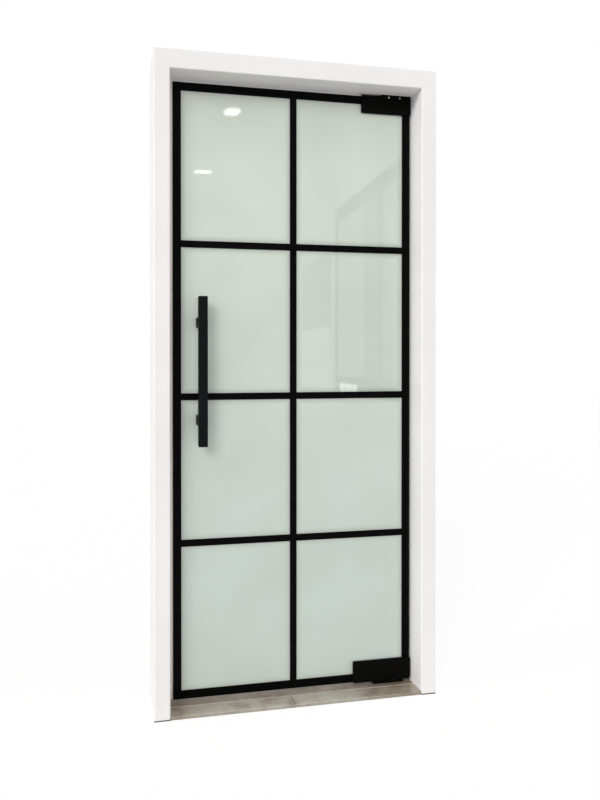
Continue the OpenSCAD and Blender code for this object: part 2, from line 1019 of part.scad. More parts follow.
top_patch_rear_cover();
head_pivot_bush();
closer_housing();
bottom_patch_clamp();
bottom_patch_gaskets();
bottom_patch_bolts();
bottom_patch_front_cover();
bottom_patch_rear_cover();
spindle_bush();
pull_bar();  // front_pull_bar
on_rear() pull_bar();  // rear_pull_bar
pull_posts();  // front_pull_posts
on_rear() pull_posts();  // rear_pull_posts
pull_pads();
pull_bolts();
pull_sleeves();
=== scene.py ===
"""Looks of an opal glass pivot door: its finishes, small fixings, light and camera.

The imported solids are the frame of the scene. They keep their shapes and get their finishes here.
The fixings that are too small for the solids are modelled on top of them, and the plain screws of
the solids give way to screws with sockets.
"""

import json
import logging
import math
from dataclasses import dataclass, field
from enum import Enum
from typing import Any, ClassVar, Mapping, Sequence

import bmesh
import bpy
from mathutils import Euler, Matrix, Vector


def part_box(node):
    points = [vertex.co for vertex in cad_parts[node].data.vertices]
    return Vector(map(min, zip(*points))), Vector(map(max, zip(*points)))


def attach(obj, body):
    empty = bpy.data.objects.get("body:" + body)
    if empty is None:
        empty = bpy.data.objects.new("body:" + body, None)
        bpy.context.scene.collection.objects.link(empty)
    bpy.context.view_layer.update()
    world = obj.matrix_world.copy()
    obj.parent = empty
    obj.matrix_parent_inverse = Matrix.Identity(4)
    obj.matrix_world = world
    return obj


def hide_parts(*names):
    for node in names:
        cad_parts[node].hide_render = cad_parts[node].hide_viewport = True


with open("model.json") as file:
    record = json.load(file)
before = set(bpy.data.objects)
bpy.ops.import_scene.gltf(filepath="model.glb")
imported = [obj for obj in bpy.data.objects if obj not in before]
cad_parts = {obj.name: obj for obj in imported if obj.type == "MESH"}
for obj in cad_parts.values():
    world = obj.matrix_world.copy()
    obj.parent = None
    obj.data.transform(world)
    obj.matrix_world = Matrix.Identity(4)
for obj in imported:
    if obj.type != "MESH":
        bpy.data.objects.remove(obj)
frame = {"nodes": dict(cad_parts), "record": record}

LOG = logging.getLogger("glass_door")
MM = 0.001
MERGE = 0.001 * MM
SIXTH_TURN = math.pi / 3
SMOOTH_ANGLE = math.radians(32)

WHITE = "#ffffff"
NOISE_SPAN = (0.3, 0.7)
TONE_OCTAVES = 3.0
TONE_GAIN = 0.55
SHEEN_OCTAVES = 4.0
GRAIN_OCTAVES = 2.0

UP = Vector((0, 0, 1))
DOWN = Vector((0, 0, -1))
FRONTWARD = Vector((0, -1, 0))
REARWARD = Vector((0, 1, 0))


class Axis(Enum):
    """Axes of the shared frame, numbered as in a vector."""

    X = 0
    Y = 1
    Z = 2


class Body(Enum):
    """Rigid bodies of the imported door."""

    FRAME = "frame"
    LEAF = "leaf"


class PanelShape(Enum):
    """Outline of a ceiling panel."""

    RECTANGLE = "RECTANGLE"
    ELLIPSE = "ELLIPSE"


class Slot(Enum):
    """Material slots of the record."""

    LACQUER = "lacquer"
    STONE = "stone"
    GROUT = "grout"
    STEEL = "steel"
    PATCH_BLACK = "patch_black"
    PULL_BLACK = "pull_black"
    BUSH_BRONZE = "bush_bronze"
    GASKET = "gasket"
    SLEEVE = "sleeve"
    OPAL_GLASS = "opal_glass"
    SEAL = "seal"
    STRIP_BLACK = "strip_black"


def linear(hex_code: str) -> tuple[float, float, float, float]:
    """Turn an sRGB colour into the linear colour that shaders take.

    Args:
        hex_code: Colour as "#rrggbb".

    Returns:
        Linear red, green and blue, with an alpha of one.
    """
    channels = [int(hex_code[i : i + 2], 16) / 255 for i in (1, 3, 5)]
    r, g, b = (c / 12.92 if c <= 0.04045 else ((c + 0.055) / 1.055) ** 2.4 for c in channels)
    return r, g, b, 1.0


def per_mm(size: float) -> float:
    """Texture scale on metre coordinates for a feature of that many millimetres."""
    return 1 / (size * MM)


def add_node(
    tree: bpy.types.NodeTree,
    kind: str,
    settings: Mapping[Any, Any] | None = None,
    links: Mapping[Any, bpy.types.NodeSocket] | None = None,
) -> bpy.types.Node:
    """Add a node with its settings and incoming links.

    Args:
        tree: Node tree that gets the node.
        kind: Blender's type name of the node.
        settings: Values of the node's own properties, or of its inputs by name or number.
            "ramp" gives a colour ramp's stops as (position, colour) pairs.
        links: Sockets that feed the node's inputs, by input name or number.

    Returns:
        The new node.
    """
    node = tree.nodes.new(kind)
    for key, value in (settings or {}).items():
        if key == "ramp":
            stops = node.color_ramp.elements
            while len(stops) < len(value):
                stops.new(1.0)
            for stop, (position, colour) in zip(stops, value):
                stop.position = position
                stop.color = colour
        elif isinstance(key, str) and key in node.bl_rna.properties:
            setattr(node, key, value)
        else:
            node.inputs[key].default_value = value
    for key, source in (links or {}).items():
        tree.links.new(source, node.inputs[key])
    return node


def bare_material(name: str) -> bpy.types.Material:
    """Make a material without nodes, for a piece of the stage.

    Args:
        name: Name of the material.

    Returns:
        The material, its node tree empty.
    """
    material = bpy.data.materials.new(name)
    material.use_nodes = True
    material.node_tree.nodes.clear()
    return material


@dataclass(frozen=True)
class Canvas:
    """A material in the making.

    Attributes:
        tree: Its nodes.
        shader: Its principled shader.
        place: Object coordinates, in metres.
        normal: Normal in object space, which turns with the leaf.
    """

    tree: bpy.types.NodeTree
    shader: bpy.types.Node
    place: bpy.types.NodeSocket
    normal: bpy.types.NodeSocket

    def tint(self, colour: bpy.types.NodeSocket) -> None:
        """Let a colour feed the shader."""
        self.tree.links.new(colour, self.shader.inputs["Base Color"])

    def mottle(
        self,
        size: float,
        tones: Sequence[str],
        span: tuple[float, float] = NOISE_SPAN,
        octaves: float = TONE_OCTAVES,
    ) -> bpy.types.NodeSocket:
        """Make a colour that wanders between a few tones.

        Args:
            size: Size of a patch of tone, in millimetres.
            tones: Colours from the noise's low end to its high end, sRGB hex.
            span: Noise values of the first and the last tone, with the others evenly between them.
            octaves: Octaves of the noise.

        Returns:
            The colour socket.
        """
        noise = add_node(
            self.tree,
            "ShaderNodeTexNoise",
            {"Scale": per_mm(size), "Detail": octaves, "Roughness": TONE_GAIN},
            {"Vector": self.place},
        )
        low, high = span
        step = (high - low) / (len(tones) - 1)
        stops = [(low + step * index, linear(tone)) for index, tone in enumerate(tones)]
        ramp = add_node(self.tree, "ShaderNodeValToRGB", {"ramp": stops}, {"Fac": noise.outputs["Fac"]})
        return ramp.outputs["Color"]

    def glaze(self, colour: bpy.types.NodeSocket, *coats: bpy.types.NodeSocket) -> bpy.types.NodeSocket:
        """Lay thin coats over a colour.

        Args:
            colour: The ground.
            coats: Colours laid over it in turn, white where they leave it alone.

        Returns:
            The colour of all together.
        """
        for coat in coats:
            colour = add_node(
                self.tree,
                "ShaderNodeMix",
                {"data_type": "RGBA", "blend_type": "MULTIPLY", "Factor": 1.0},
                {"A": colour, "B": coat},
            ).outputs["Result"]
        return colour

    def polish(self, size: float, roughness: float, shares: tuple[float, float]) -> None:
        """Let the roughness wander.

        Args:
            size: Size of a patch, in millimetres.
            roughness: Roughness on the whole.
            shares: Shares of it on the smoothest and on the dullest patches.
        """
        noise = add_node(
            self.tree,
            "ShaderNodeTexNoise",
            {"Scale": per_mm(size), "Detail": SHEEN_OCTAVES},
            {"Vector": self.place},
        )
        low, high = NOISE_SPAN
        smooth, dull = shares
        rough = add_node(
            self.tree,
            "ShaderNodeMapRange",
            {"From Min": low, "From Max": high, "To Min": roughness * smooth, "To Max": roughness * dull},
            {"Value": noise.outputs["Fac"]},
        )
        self.tree.links.new(rough.outputs["Result"], self.shader.inputs["Roughness"])

    def grain(self, size: float, depth: float, relief: float) -> None:
        """Roughen the shader's normal with an even grain.

        Args:
            size: Size of a grain, in millimetres.
            depth: Depth of the grain, in millimetres.
            relief: How much of the grain shows.
        """
        noise = add_node(
            self.tree,
            "ShaderNodeTexNoise",
            {"Scale": per_mm(size), "Detail": GRAIN_OCTAVES},
            {"Vector": self.place},
        )
        bump = add_node(
            self.tree,
            "ShaderNodeBump",
            {"Strength": relief, "Distance": depth * MM},
            {"Height": noise.outputs["Fac"]},
        )
        self.tree.links.new(bump.outputs["Normal"], self.shader.inputs["Normal"])

    def squareness(self, axis: Axis) -> bpy.types.NodeSocket:
        """Measure how squarely a face looks along an axis.

        Args:
            axis: The axis.

        Returns:
            One where the face lies across the axis, zero where it runs along it.
        """
        lie = add_node(self.tree, "ShaderNodeSeparateXYZ", links={"Vector": self.normal})
        share = add_node(
            self.tree, "ShaderNodeMath", {"operation": "ABSOLUTE"}, {0: lie.outputs[axis.value]}
        )
        return share.outputs["Value"]

    def offset(self, axis: Axis, middle: float) -> bpy.types.NodeSocket:
        """Measure how far a point is from a plane across an axis.

        Args:
            axis: The axis.
            middle: Where the plane cuts it, in metres.

        Returns:
            The distance to either side, in metres.
        """
        axes = add_node(self.tree, "ShaderNodeSeparateXYZ", links={"Vector": self.place})
        aside = add_node(
            self.tree,
            "ShaderNodeMath",
            {"operation": "SUBTRACT", 1: middle},
            {0: axes.outputs[axis.value]},
        )
        away = add_node(
            self.tree, "ShaderNodeMath", {"operation": "ABSOLUTE"}, {0: aside.outputs["Value"]}
        )
        return away.outputs["Value"]


@dataclass(frozen=True)
class Finish:
    """A surface: the plain sockets of its shader, and a texture that each kind adds.

    Attributes:
        name: Name of the real material.
        colour: Main colour, sRGB hex.
        roughness: Microscopic roughness, 0 for a mirror.
        metallic: One for bare metal.
        specular: Share of the usual dielectric reflection, 0.5 for an IOR of 1.5.
    """

    name: str
    colour: str
    roughness: float
    metallic: float = 0.0
    specular: float = 0.5

    def material(self) -> bpy.types.Material:
        """Make the Blender material.

        Returns:
            The material with its shader and texture in place.
        """
        material = bpy.data.materials.new(self.name)
        material.use_nodes = True
        tree = material.node_tree
        shader = next(node for node in tree.nodes if node.type == "BSDF_PRINCIPLED")
        shader.inputs["Base Color"].default_value = linear(self.colour)
        shader.inputs["Roughness"].default_value = self.roughness
        shader.inputs["Metallic"].default_value = self.metallic
        shader.inputs["Specular IOR Level"].default_value = self.specular
        coordinates = add_node(tree, "ShaderNodeTexCoord").outputs
        self.texture(Canvas(tree, shader, coordinates["Object"], coordinates["Normal"]))
        return material

    def texture(self, canvas: Canvas) -> None:
        """Add what the bare shader lacks to the material in the making."""
        raise NotImplementedError


@dataclass(frozen=True, kw_only=True)
class SatinLacquer(Finish):
    """Sprayed white lacquer: a soft sheen over a faint orange peel.

    Attributes:
        shade: Slightly darker tone that the spray leaves in wide clouds, sRGB hex.
        cloud: Size of such a cloud, in millimetres.
        cloud_span: Noise values between which the clouds fade.
        sheen: Size of a patch of sheen, in millimetres.
        sheen_shares: Shares of the roughness on the smoothest and on the dullest patches.
        peel: Width of an orange-peel dimple, in millimetres, drawn coarser than the real one.
        peel_depth: Depth of a dimple, in millimetres.
        relief: How much of the dimples shows.
    """

    shade: str = "#edeae9"
    cloud: float = 420.0
    cloud_span: tuple[float, float] = (0.35, 0.65)
    sheen: float = 210.0
    sheen_shares: tuple[float, float] = (0.9, 1.1)
    peel: float = 6.0
    peel_depth: float = 0.03
    relief: float = 0.25

    def texture(self, canvas: Canvas) -> None:
        """Add spray clouds, an uneven sheen and orange peel.

        Args:
            canvas: The material in the making.
        """
        canvas.tint(canvas.mottle(self.cloud, (self.shade, self.colour), self.cloud_span))
        canvas.polish(self.sheen, self.roughness, self.sheen_shares)
        canvas.grain(self.peel, self.peel_depth, self.relief)


@dataclass(frozen=True)
class StripLine:
    """One strip on the pane, as the glass beside it sees it.

    Attributes:
        axis: Axis across the strip.
        centre: Middle of the strip along that axis, in metres.
        half: Half the strip's width, in metres.
    """

    axis: Axis
    centre: float
    half: float


@dataclass(frozen=True, kw_only=True)
class OpalGlass(Finish):
    """Polished milk glass: a pale green body under a clear gloss, with painted shade by the strips.

    The milky body is lit through both faces; its shade by the strips and under the head rail
    is painted into its colour.

    Attributes:
        span: Lowest and highest point of the pane, in metres.
        lines: Strips on the pane.
        low_colour: Colour towards the bottom of the leaf, sRGB hex.
        rail_shade_colour: Painted shade under the head rail, which keeps light off the body, sRGB hex.
        levels: Shares of the height where the low colour ends, where the main colour starts and
        ends, and where the painted shade under the rail is full.
        cloud: Size of a cloud in the body, in millimetres.
        cloud_glaze: Glaze on the clouds, sRGB hex.
        cloud_octaves: Octaves of the clouds' noise.
        strip_shade_reach: Reach of the painted shade beside a strip, in millimetres.
        strip_shade_colour: Painted shade right beside a strip, sRGB hex.
        edge_colour: Colour of the polished edges, sRGB hex.
        wipe: Width of a wiping mark, in millimetres.
        wipe_shares: Shares of the roughness on the cleanest and on the dullest marks.
    """

    span: tuple[float, float]
    lines: tuple[StripLine, ...]
    low_colour: str = "#c8d4cc"
    rail_shade_colour: str = "#c6cec3"
    levels: tuple[float, float, float, float] = (0.24, 0.76, 0.88, 1.0)
    cloud: float = 300.0
    cloud_glaze: str = "#f7f7f5"
    cloud_octaves: float = 1.0
    strip_shade_reach: float = 22.0
    strip_shade_colour: str = "#bcc5ba"
    edge_colour: str = "#5f8a76"
    wipe: float = 90.0
    wipe_shares: tuple[float, float] = (0.7, 1.5)

    def texture(self, canvas: Canvas) -> None:
        """Add the milky body, painted shade beside the strips, green edges and wiping marks.

        Args:
            canvas: The material in the making.
        """
        # Painted shade: the glass darkens towards each strip, for the shade that the strips cast on it.
        clear = add_node(
            canvas.tree,
            "ShaderNodeMapRange",
            {"interpolation_type": "SMOOTHSTEP", "From Min": 0.0, "From Max": self.strip_shade_reach * MM},
            {"Value": self.distance(canvas)},
        )
        dimmed = add_node(
            canvas.tree,
            "ShaderNodeMix",
            {"data_type": "RGBA", "A": linear(self.strip_shade_colour)},
            {"Factor": clear.outputs["Result"], "B": self.body(canvas)},
        )
        edged = add_node(
            canvas.tree,
            "ShaderNodeMix",
            {"data_type": "RGBA", "A": linear(self.edge_colour)},
            {"Factor": canvas.squareness(Axis.Y), "B": dimmed.outputs["Result"]},
        )
        canvas.tint(edged.outputs["Result"])
        canvas.polish(self.wipe, self.roughness, self.wipe_shares)

    def body(self, canvas: Canvas) -> bpy.types.NodeSocket:
        """Colour the milky body by its height, with painted shade under the head rail and faint clouds.

        Args:
            canvas: The material in the making.

        Returns:
            The colour away from strips and edges.
        """
        low, high = self.span
        axes = add_node(canvas.tree, "ShaderNodeSeparateXYZ", links={"Vector": canvas.place})
        height = add_node(
            canvas.tree,
            "ShaderNodeMapRange",
            {"From Min": low, "From Max": high},
            {"Value": axes.outputs["Z"]},
        )
        # The last tone is painted shade under the head rail.
        tones = (self.low_colour, self.colour, self.colour, self.rail_shade_colour)
        stops = [(level, linear(tone)) for level, tone in zip(self.levels, tones)]
        fall = add_node(
            canvas.tree, "ShaderNodeValToRGB", {"ramp": stops}, {"Fac": height.outputs["Result"]}
        )
        clouds = canvas.mottle(self.cloud, (self.cloud_glaze, WHITE), octaves=self.cloud_octaves)
        return canvas.glaze(fall.outputs["Color"], clouds)

    def distance(self, canvas: Canvas) -> bpy.types.NodeSocket:
        """Measure how far a point of the glass is from the nearest strip.

        Args:
            canvas: The material in the making.

        Returns:
            Distance in metres, below zero under a strip.
        """
        gaps = []
        for line in self.lines:
            away = canvas.offset(line.axis, line.centre)
            gap = add_node(
                canvas.tree, "ShaderNodeMath", {"operation": "SUBTRACT", 1: line.half}, {0: away}
            )
            gaps.append(gap.outputs["Value"])
        nearest = gaps[0]
        for gap in gaps[1:]:
            nearest = add_node(
                canvas.tree, "ShaderNodeMath", {"operation": "MINIMUM"}, {0: nearest, 1: gap}
            ).outputs["Value"]
        return nearest


@dataclass(frozen=True, kw_only=True)
class BlackCoat(Finish):
    """Black coat on metal: near-black with a fine grain that breaks up its sheen.

    Attributes:
        shade: Lighter of its two tones, sRGB hex.
        blotch: Size of a patch of tone, in millimetres.
        blotch_span: Noise values between which the tones fade.
        sheen: Size of a patch of sheen, in millimetres.
        sheen_shares: Shares of the roughness on the smoothest and on the dullest patches.
        grit: Size of a grain, in millimetres, drawn coarser than the real one.
        depth: Depth of the grain, in millimetres.
        relief: How much of the grain shows.
    """

    shade: str
    blotch: float = 6.0
    blotch_span: tuple[float, float] = (0.3, 0.8)
    sheen: float = 60.0
    sheen_shares: tuple[float, float] = (0.85, 1.15)
    grit: float = 1.5
    depth: float = 0.05
    relief: float = 0.3

    def texture(self, canvas: Canvas) -> None:
        """Add the two tones, an uneven sheen and the grain.

        Args:
            canvas: The material in the making.
        """
        canvas.tint(canvas.mottle(self.blotch, (self.colour, self.shade), self.blotch_span))
        canvas.polish(self.sheen, self.roughness, self.sheen_shares)
        canvas.grain(self.grit, self.depth, self.relief)


@dataclass(frozen=True, kw_only=True)
class CutStone(Finish):
    """Sawn limestone: clouded grey-brown with fine darker specks, and painted shade on its upright edges.

    Attributes:
        dark: Darkest clouds, sRGB hex.
        light: Lightest clouds, sRGB hex.
        cloud: Size of a cloud, in millimetres.
        cloud_span: Noise values of the darkest and of the lightest clouds.
        cloud_octaves: Octaves of the clouds' noise.
        speck: Size of a speck, in millimetres.
        speck_glaze: Glaze on the specks, sRGB hex.
        speck_span: Noise values between which the specks fade.
        upright_shade: Painted shade on the upright edges, against the front light that falls on them, sRGB
            hex.
        way: Middle of the way through, along X in metres.
        unshaded_reach: From there to where the painted shade of the ends begins, in metres.
        full_shade_reach: From there to where that painted shade is full, in metres.
        end_shade_glaze: Painted shade on the ends beside the posts, sRGB hex.
        sheen: Size of a patch of sheen, in millimetres.
        sheen_shares: Shares of the roughness on the smoothest and on the dullest patches.
        pit: Depth of the pits, in millimetres.
        relief: How much of the pits shows.
    """

    dark: str = "#ac9f8e"
    light: str = "#e2ddd3"
    cloud: float = 75.0
    cloud_span: tuple[float, float] = (0.28, 0.72)
    cloud_octaves: float = 5.0
    speck: float = 5.0
    speck_glaze: str = "#dfdad1"
    speck_span: tuple[float, float] = (0.3, 0.55)
    upright_shade: str = "#c8c9c3"
    way: float = -0.06
    unshaded_reach: float = 0.198
    full_shade_reach: float = 0.396
    end_shade_glaze: str = "#d6cec3"
    sheen: float = 25.0
    sheen_shares: tuple[float, float] = (0.8, 1.3)
    pit: float = 0.05
    relief: float = 0.3

    def texture(self, canvas: Canvas) -> None:
        """Add clouds, specks, painted shade on the upright edges and at the ends, an uneven sheen and pits.

        Args:
            canvas: The material in the making.
        """
        tones = (self.dark, self.colour, self.light)
        clouds = canvas.mottle(self.cloud, tones, self.cloud_span, self.cloud_octaves)
        specks = canvas.mottle(self.speck, (self.speck_glaze, WHITE), self.speck_span)
        # Painted shade: upright faces get a darker glaze against the front light that falls on them.
        edges = add_node(
            canvas.tree,
            "ShaderNodeMix",
            {"data_type": "RGBA", "A": linear(self.upright_shade), "B": linear(WHITE)},
            {"Factor": canvas.squareness(Axis.Z)},
        )
        # The last glaze is painted shade at the ends beside the posts.
        canvas.tint(canvas.glaze(clouds, specks, edges.outputs["Result"], self.painted_end_shade(canvas)))
        canvas.polish(self.sheen, self.roughness, self.sheen_shares)
        canvas.grain(self.speck, self.pit, self.relief)

    def painted_end_shade(self, canvas: Canvas) -> bpy.types.NodeSocket:
        """Paint shade on the ends beside the posts and leave the middle plain.

        Args:
            canvas: The material in the making.

        Returns:
            Glaze, white in the middle and painted shade at the ends.
        """
        end = add_node(
            canvas.tree,
            "ShaderNodeMapRange",
            {"interpolation_type": "SMOOTHSTEP", "From Min": self.unshaded_reach, "From Max": self.full_shade_reach},
            {"Value": canvas.offset(Axis.X, self.way)},
        )
        glaze = add_node(
            canvas.tree,
            "ShaderNodeMix",
            {"data_type": "RGBA", "A": linear(WHITE), "B": linear(self.end_shade_glaze)},
            {"Factor": end.outputs["Result"]},
        )
        return glaze.outputs["Result"]


@dataclass(frozen=True, kw_only=True)
class MottledMatter(Finish):
    """Soft or cast matter with two close tones: rubber, silicone, vinyl, nylon, cement.

    Attributes:
        shade: Second tone, sRGB hex.
        patch: Size of a patch of tone, in millimetres.
        grain_share: Size of a grain, as a share of a patch.
        depth: Depth of the grain, in millimetres.
        relief: How much of the grain shows.
    """

    shade: str
    patch: float
    grain_share: float = 0.1
    depth: float = 0.05
    relief: float = 0.3

    def texture(self, canvas: Canvas) -> None:
        """Add the two tones and a fine grain."""
        canvas.tint(canvas.mottle(self.patch, (self.shade, self.colour)))
        canvas.grain(self.patch * self.grain_share, self.depth, self.relief)


@dataclass(frozen=True, kw_only=True)
class TurnedMetal(Finish):
    """Bare turned metal: fine tool marks vary its shine and its tone.

    Attributes:
        shade: Darker of its two tones, sRGB hex.
        stain: Size of a patch of tone, in millimetres.
        stain_span: Noise values between which the tones fade.
        sheen: Size of a patch of sheen, in millimetres.
        sheen_shares: Shares of the roughness on the smoothest and on the dullest patches.
        pitch: Spacing of the tool marks, in millimetres.
        depth: Depth of the tool marks, in millimetres.
        relief: How much of the tool marks shows.
    """

    shade: str
    stain: float = 6.4
    stain_span: tuple[float, float] = (0.3, 0.6)
    sheen: float = 3.2
    sheen_shares: tuple[float, float] = (0.8, 1.3)
    pitch: float = 0.8
    depth: float = 0.02
    relief: float = 0.4

    def texture(self, canvas: Canvas) -> None:
        """Add the two tones, an uneven polish and tool marks.

        Args:
            canvas: The material in the making.
        """
        canvas.tint(canvas.mottle(self.stain, (self.shade, self.colour), self.stain_span))
        canvas.polish(self.sheen, self.roughness, self.sheen_shares)
        canvas.grain(self.pitch, self.depth, self.relief)


def strip_lines() -> tuple[StripLine, ...]:
    """Find the strips that frame the panes.

    Returns:
        The strips, each with the axis across it.
    """
    uprights = ("front_left_stile", "front_upright_bar", "front_right_stile")
    levels = (
        "front_bottom_rail",
        "front_low_left_bar",
        "front_mid_left_bar",
        "front_high_left_bar",
        "front_top_rail",
    )
    lines = []
    for axis, nodes in ((Axis.X, uprights), (Axis.Z, levels)):
        for node in nodes:
            low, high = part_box(node)
            middle = (low + high) / 2
            half = (high - low) / 2
            lines.append(StripLine(axis, middle[axis.value], half[axis.value]))
    return tuple(lines)


def finishes() -> dict[Slot, Finish]:
    """Give each material slot of the record its finish.

    Returns:
        Finishes by slot.
    """
    low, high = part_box("glass_pane")
    return {
        # White sprayed lacquer on a timber box: even, bright, with a soft sheen on its arrises.
        Slot.LACQUER: SatinLacquer("white satin lacquer", "#f1eeed", 0.42, specular=0.35),
        # Opal float glass, polished: mirror gloss over a body that lets light in but no view.
        Slot.OPAL_GLASS: OpalGlass(
            "opal float glass", "#d5ded3", 0.012, specular=0.8, span=(low.z, high.z), lines=strip_lines()
        ),
        # Black anodised flat bar, glued on: deep black with a narrow gloss.
        Slot.STRIP_BLACK: BlackCoat(
            "black anodised aluminium", "#050505", 0.28, specular=0.03, shade="#0a0a0a"
        ),
        # Matt black powder coat on the patch covers: dark and dry.
        Slot.PATCH_BLACK: BlackCoat(
            "matt black powder coat", "#070707", 0.6, specular=0.03, shade="#0d0d0c"
        ),
        # Satin black powder coat on the pulls, a little lighter than the other black coats.
        Slot.PULL_BLACK: BlackCoat(
            "satin black powder coat", "#0d0e0f", 0.45, specular=0.06, shade="#141617"
        ),
        # Polished limestone slabs: clouded grey-brown that mirrors the leaf at a low angle.
        Slot.STONE: CutStone("polished limestone", "#d4cdc1", 0.13, specular=1.0),
        # Cement joint: paler than the stone, dry.
        Slot.GROUT: MottledMatter(
            "cement grout", "#f0e8da", 0.85, specular=0.2, shade="#dad1c2", patch=20.0, depth=0.2
        ),
        # Clear vinyl seal gone pinkish: soft, a little glossy; its near-white tone is partly painted light,
        # for light shining through it from behind.
        Slot.SEAL: MottledMatter("soft vinyl", "#fbf0e9", 0.35, specular=0.4, shade="#f2e4db", patch=260.0),
        # Zinc-plated steel: bright, slightly blurred.
        Slot.STEEL: TurnedMetal("zinc-plated steel", "#d6d8d9", 0.3, metallic=1.0, shade="#bfc2c3"),
        # Bearing bronze, turned: its dark brown is partly painted shade, for the bush sits in shadow under
        # the patch.
        Slot.BUSH_BRONZE: TurnedMetal("bearing bronze", "#5c452b", 0.4, metallic=1.0, shade="#463421"),
        # EPDM gasket: dull near-black.
        Slot.GASKET: MottledMatter(
            "epdm rubber", "#2a2a2a", 0.8, specular=0.25, shade="#1f1f1f", patch=12.0
        ),
        # Natural nylon sleeve: ivory, waxy.
        Slot.SLEEVE: MottledMatter("natural nylon", "#e6e0d2", 0.5, shade="#d8d1c1", patch=10.0),
    }


def finish_mesh(bm: bmesh.types.BMesh, name: str) -> bpy.types.Object:
    """Turn a bmesh into an object of the scene.

    Args:
        bm: The mesh, in place; it is freed.
        name: Name of the piece.

    Returns:
        The object, at the origin, smooth but for its edges.
    """
    bmesh.ops.remove_doubles(bm, verts=bm.verts, dist=MERGE)
    bmesh.ops.recalc_face_normals(bm, faces=bm.faces)
    for face in bm.faces:
        face.smooth = True
    mesh = bpy.data.meshes.new(name)
    bm.to_mesh(mesh)
    bm.free()
    mesh.set_sharp_from_angle(angle=SMOOTH_ANGLE)
    piece = bpy.data.objects.new(name, mesh)
    bpy.context.collection.objects.link(piece)
    return piece


def facing(direction: Vector, place: Vector) -> Matrix:
    """Matrix that stands a piece made along +Z at a place, looking in a direction."""
    return Matrix.Translation(place) @ direction.to_track_quat("Z", "Y").to_matrix().to_4x4()


def aim(turn: float, dip: float) -> Euler:
    """Rotation of a lamp or camera: degrees to the right of straight ahead, and degrees of dip."""
    return Euler((math.radians(90 - dip), 0, math.radians(-turn)))


@dataclass(frozen=True)
class Stand:
    """A place on a face that carries a small piece.

    Attributes:
        place: Point on the face, in metres.
        normal: Outward normal of the face.
    """

    place: Vector
    normal: Vector


def corner_stands(node: str, inset: float) -> list[Stand]:
    """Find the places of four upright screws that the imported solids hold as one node.

    Args:
        node: The node, with a screw at each corner.
        inset: From its sides to the screws' axes, in millimetres.

    Returns:
        Places at the node's top, looking up.
    """
    low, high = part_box(node)
    edge = inset * MM
    return [
        Stand(Vector((x, y, high.z)), UP)
        for x in (low.x + edge, high.x - edge)
        for y in (low.y + edge, high.y - edge)
    ]


@dataclass(frozen=True)
class SocketScrew:
    """Screw with a hexagon socket, turned about +Z with its head up.

    Attributes:
        outline: Radius and height of the turned outline's corners, from tip to rim, in millimetres.
        socket: Radius of the hexagon's corners, in millimetres.
        depth: Depth of the socket, in millimetres.
        sides: Facets round the screw, a multiple of six.
        socket_share: Radius of a countersunk head's hexagon, as a share of the head's radius.
        depth_share: Depth of its socket, as a share of the cone's height.
    """

    outline: tuple[tuple[float, float], ...]
    socket: float
    depth: float
    sides: int = 24
    socket_share: ClassVar[float] = 0.42
    depth_share: ClassVar[float] = 0.75

    @classmethod
    def countersunk(cls, head_r: float, head_h: float, shank_r: float, length: float) -> "SocketScrew":
        """Shape a countersunk screw, flush with the face that it is driven into.

        Args:
            head_r: Radius of the head, in millimetres.
            head_h: Height of its cone, in millimetres.
            shank_r: Radius of the shank, in millimetres.
            length: Whole length, in millimetres.

        Returns:
            The screw, its socket in proportion to the head.
        """
        outline = ((0, -length), (shank_r, -length), (shank_r, -head_h), (head_r, 0))
        return cls(outline, socket=head_r * cls.socket_share, depth=head_h * cls.depth_share)

    def on_hexagon(self, point: Vector) -> Vector:
        """Move a point of a round onto the socket's hexagon.

        Args:
            point: Point of the round, in metres.

        Returns:
            The point on the hexagon, at the same angle and height.
        """
        turn = math.atan2(point.y, point.x) % SIXTH_TURN - SIXTH_TURN / 2
        reach = self.socket * MM * math.cos(SIXTH_TURN / 2) / math.cos(turn)
        return Vector((point.x, point.y, 0)).normalized() * reach + UP * point.z

    def mesh(self) -> bpy.types.Mesh:
        """Turn the outline, close the head and sink the socket.

        Returns:
            One screw, with its head's face at the outline's last height.
        """
        bm = bmesh.new()
        points = [bm.verts.new((radius * MM, 0, height * MM)) for radius, height in self.outline]
        edges = [bm.edges.new(pair) for pair in zip(points, points[1:])]
        bmesh.ops.spin(
            bm,
            geom=points + edges,
            cent=(0, 0, 0),
            axis=UP,
            dvec=(0, 0, 0),
            angle=2 * math.pi,
            steps=self.sides,
            use_merge=True,
        )
        bmesh.ops.remove_doubles(bm, verts=bm.verts, dist=MERGE)
        rim = [edge for edge in bm.edges if edge.is_boundary]
        head = bmesh.ops.contextual_create(bm, geom=rim)["faces"][0]
        bmesh.ops.inset_individual(bm, faces=[head], thickness=(self.outline[-1][0] - self.socket) * MM)
        for vert in head.verts:
            vert.co = self.on_hexagon(vert.co)
        sunk = bmesh.ops.extrude_discrete_faces(bm, faces=[head])["faces"][0]
        bmesh.ops.translate(bm, verts=sunk.verts, vec=DOWN * self.depth * MM)
        mesh = bpy.data.meshes.new("socket_screw")
        bm.to_mesh(mesh)
        bm.free()
        return mesh

    def set_out(self, name: str, stands: Sequence[Stand]) -> bpy.types.Object:
        """Put a screw on each stand and join them to one piece.

        Args:
            name: Name of the piece.
            stands: Where the screws go.

        Returns:
            The piece.
        """
        screw = self.mesh()
        bm = bmesh.new()
        for stand in stands:
            before = set(bm.verts)
            bm.from_mesh(screw)
            fresh = [vert for vert in bm.verts if vert not in before]
            bmesh.ops.transform(bm, matrix=facing(stand.normal, stand.place), verts=fresh)
        bpy.data.meshes.remove(screw)
        return finish_mesh(bm, name)


@dataclass(frozen=True)
class Piece:
    """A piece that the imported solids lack.

    Attributes:
        form: Its object.
        slot: Material slot that it takes its finish from.
        body: Body that carries it.
        stands_for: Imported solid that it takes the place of, if any.
        finish: Finish in place of its slot's own, if any.
    """

    form: bpy.types.Object
    slot: Slot
    body: Body
    stands_for: str = ""
    finish: Finish | None = None


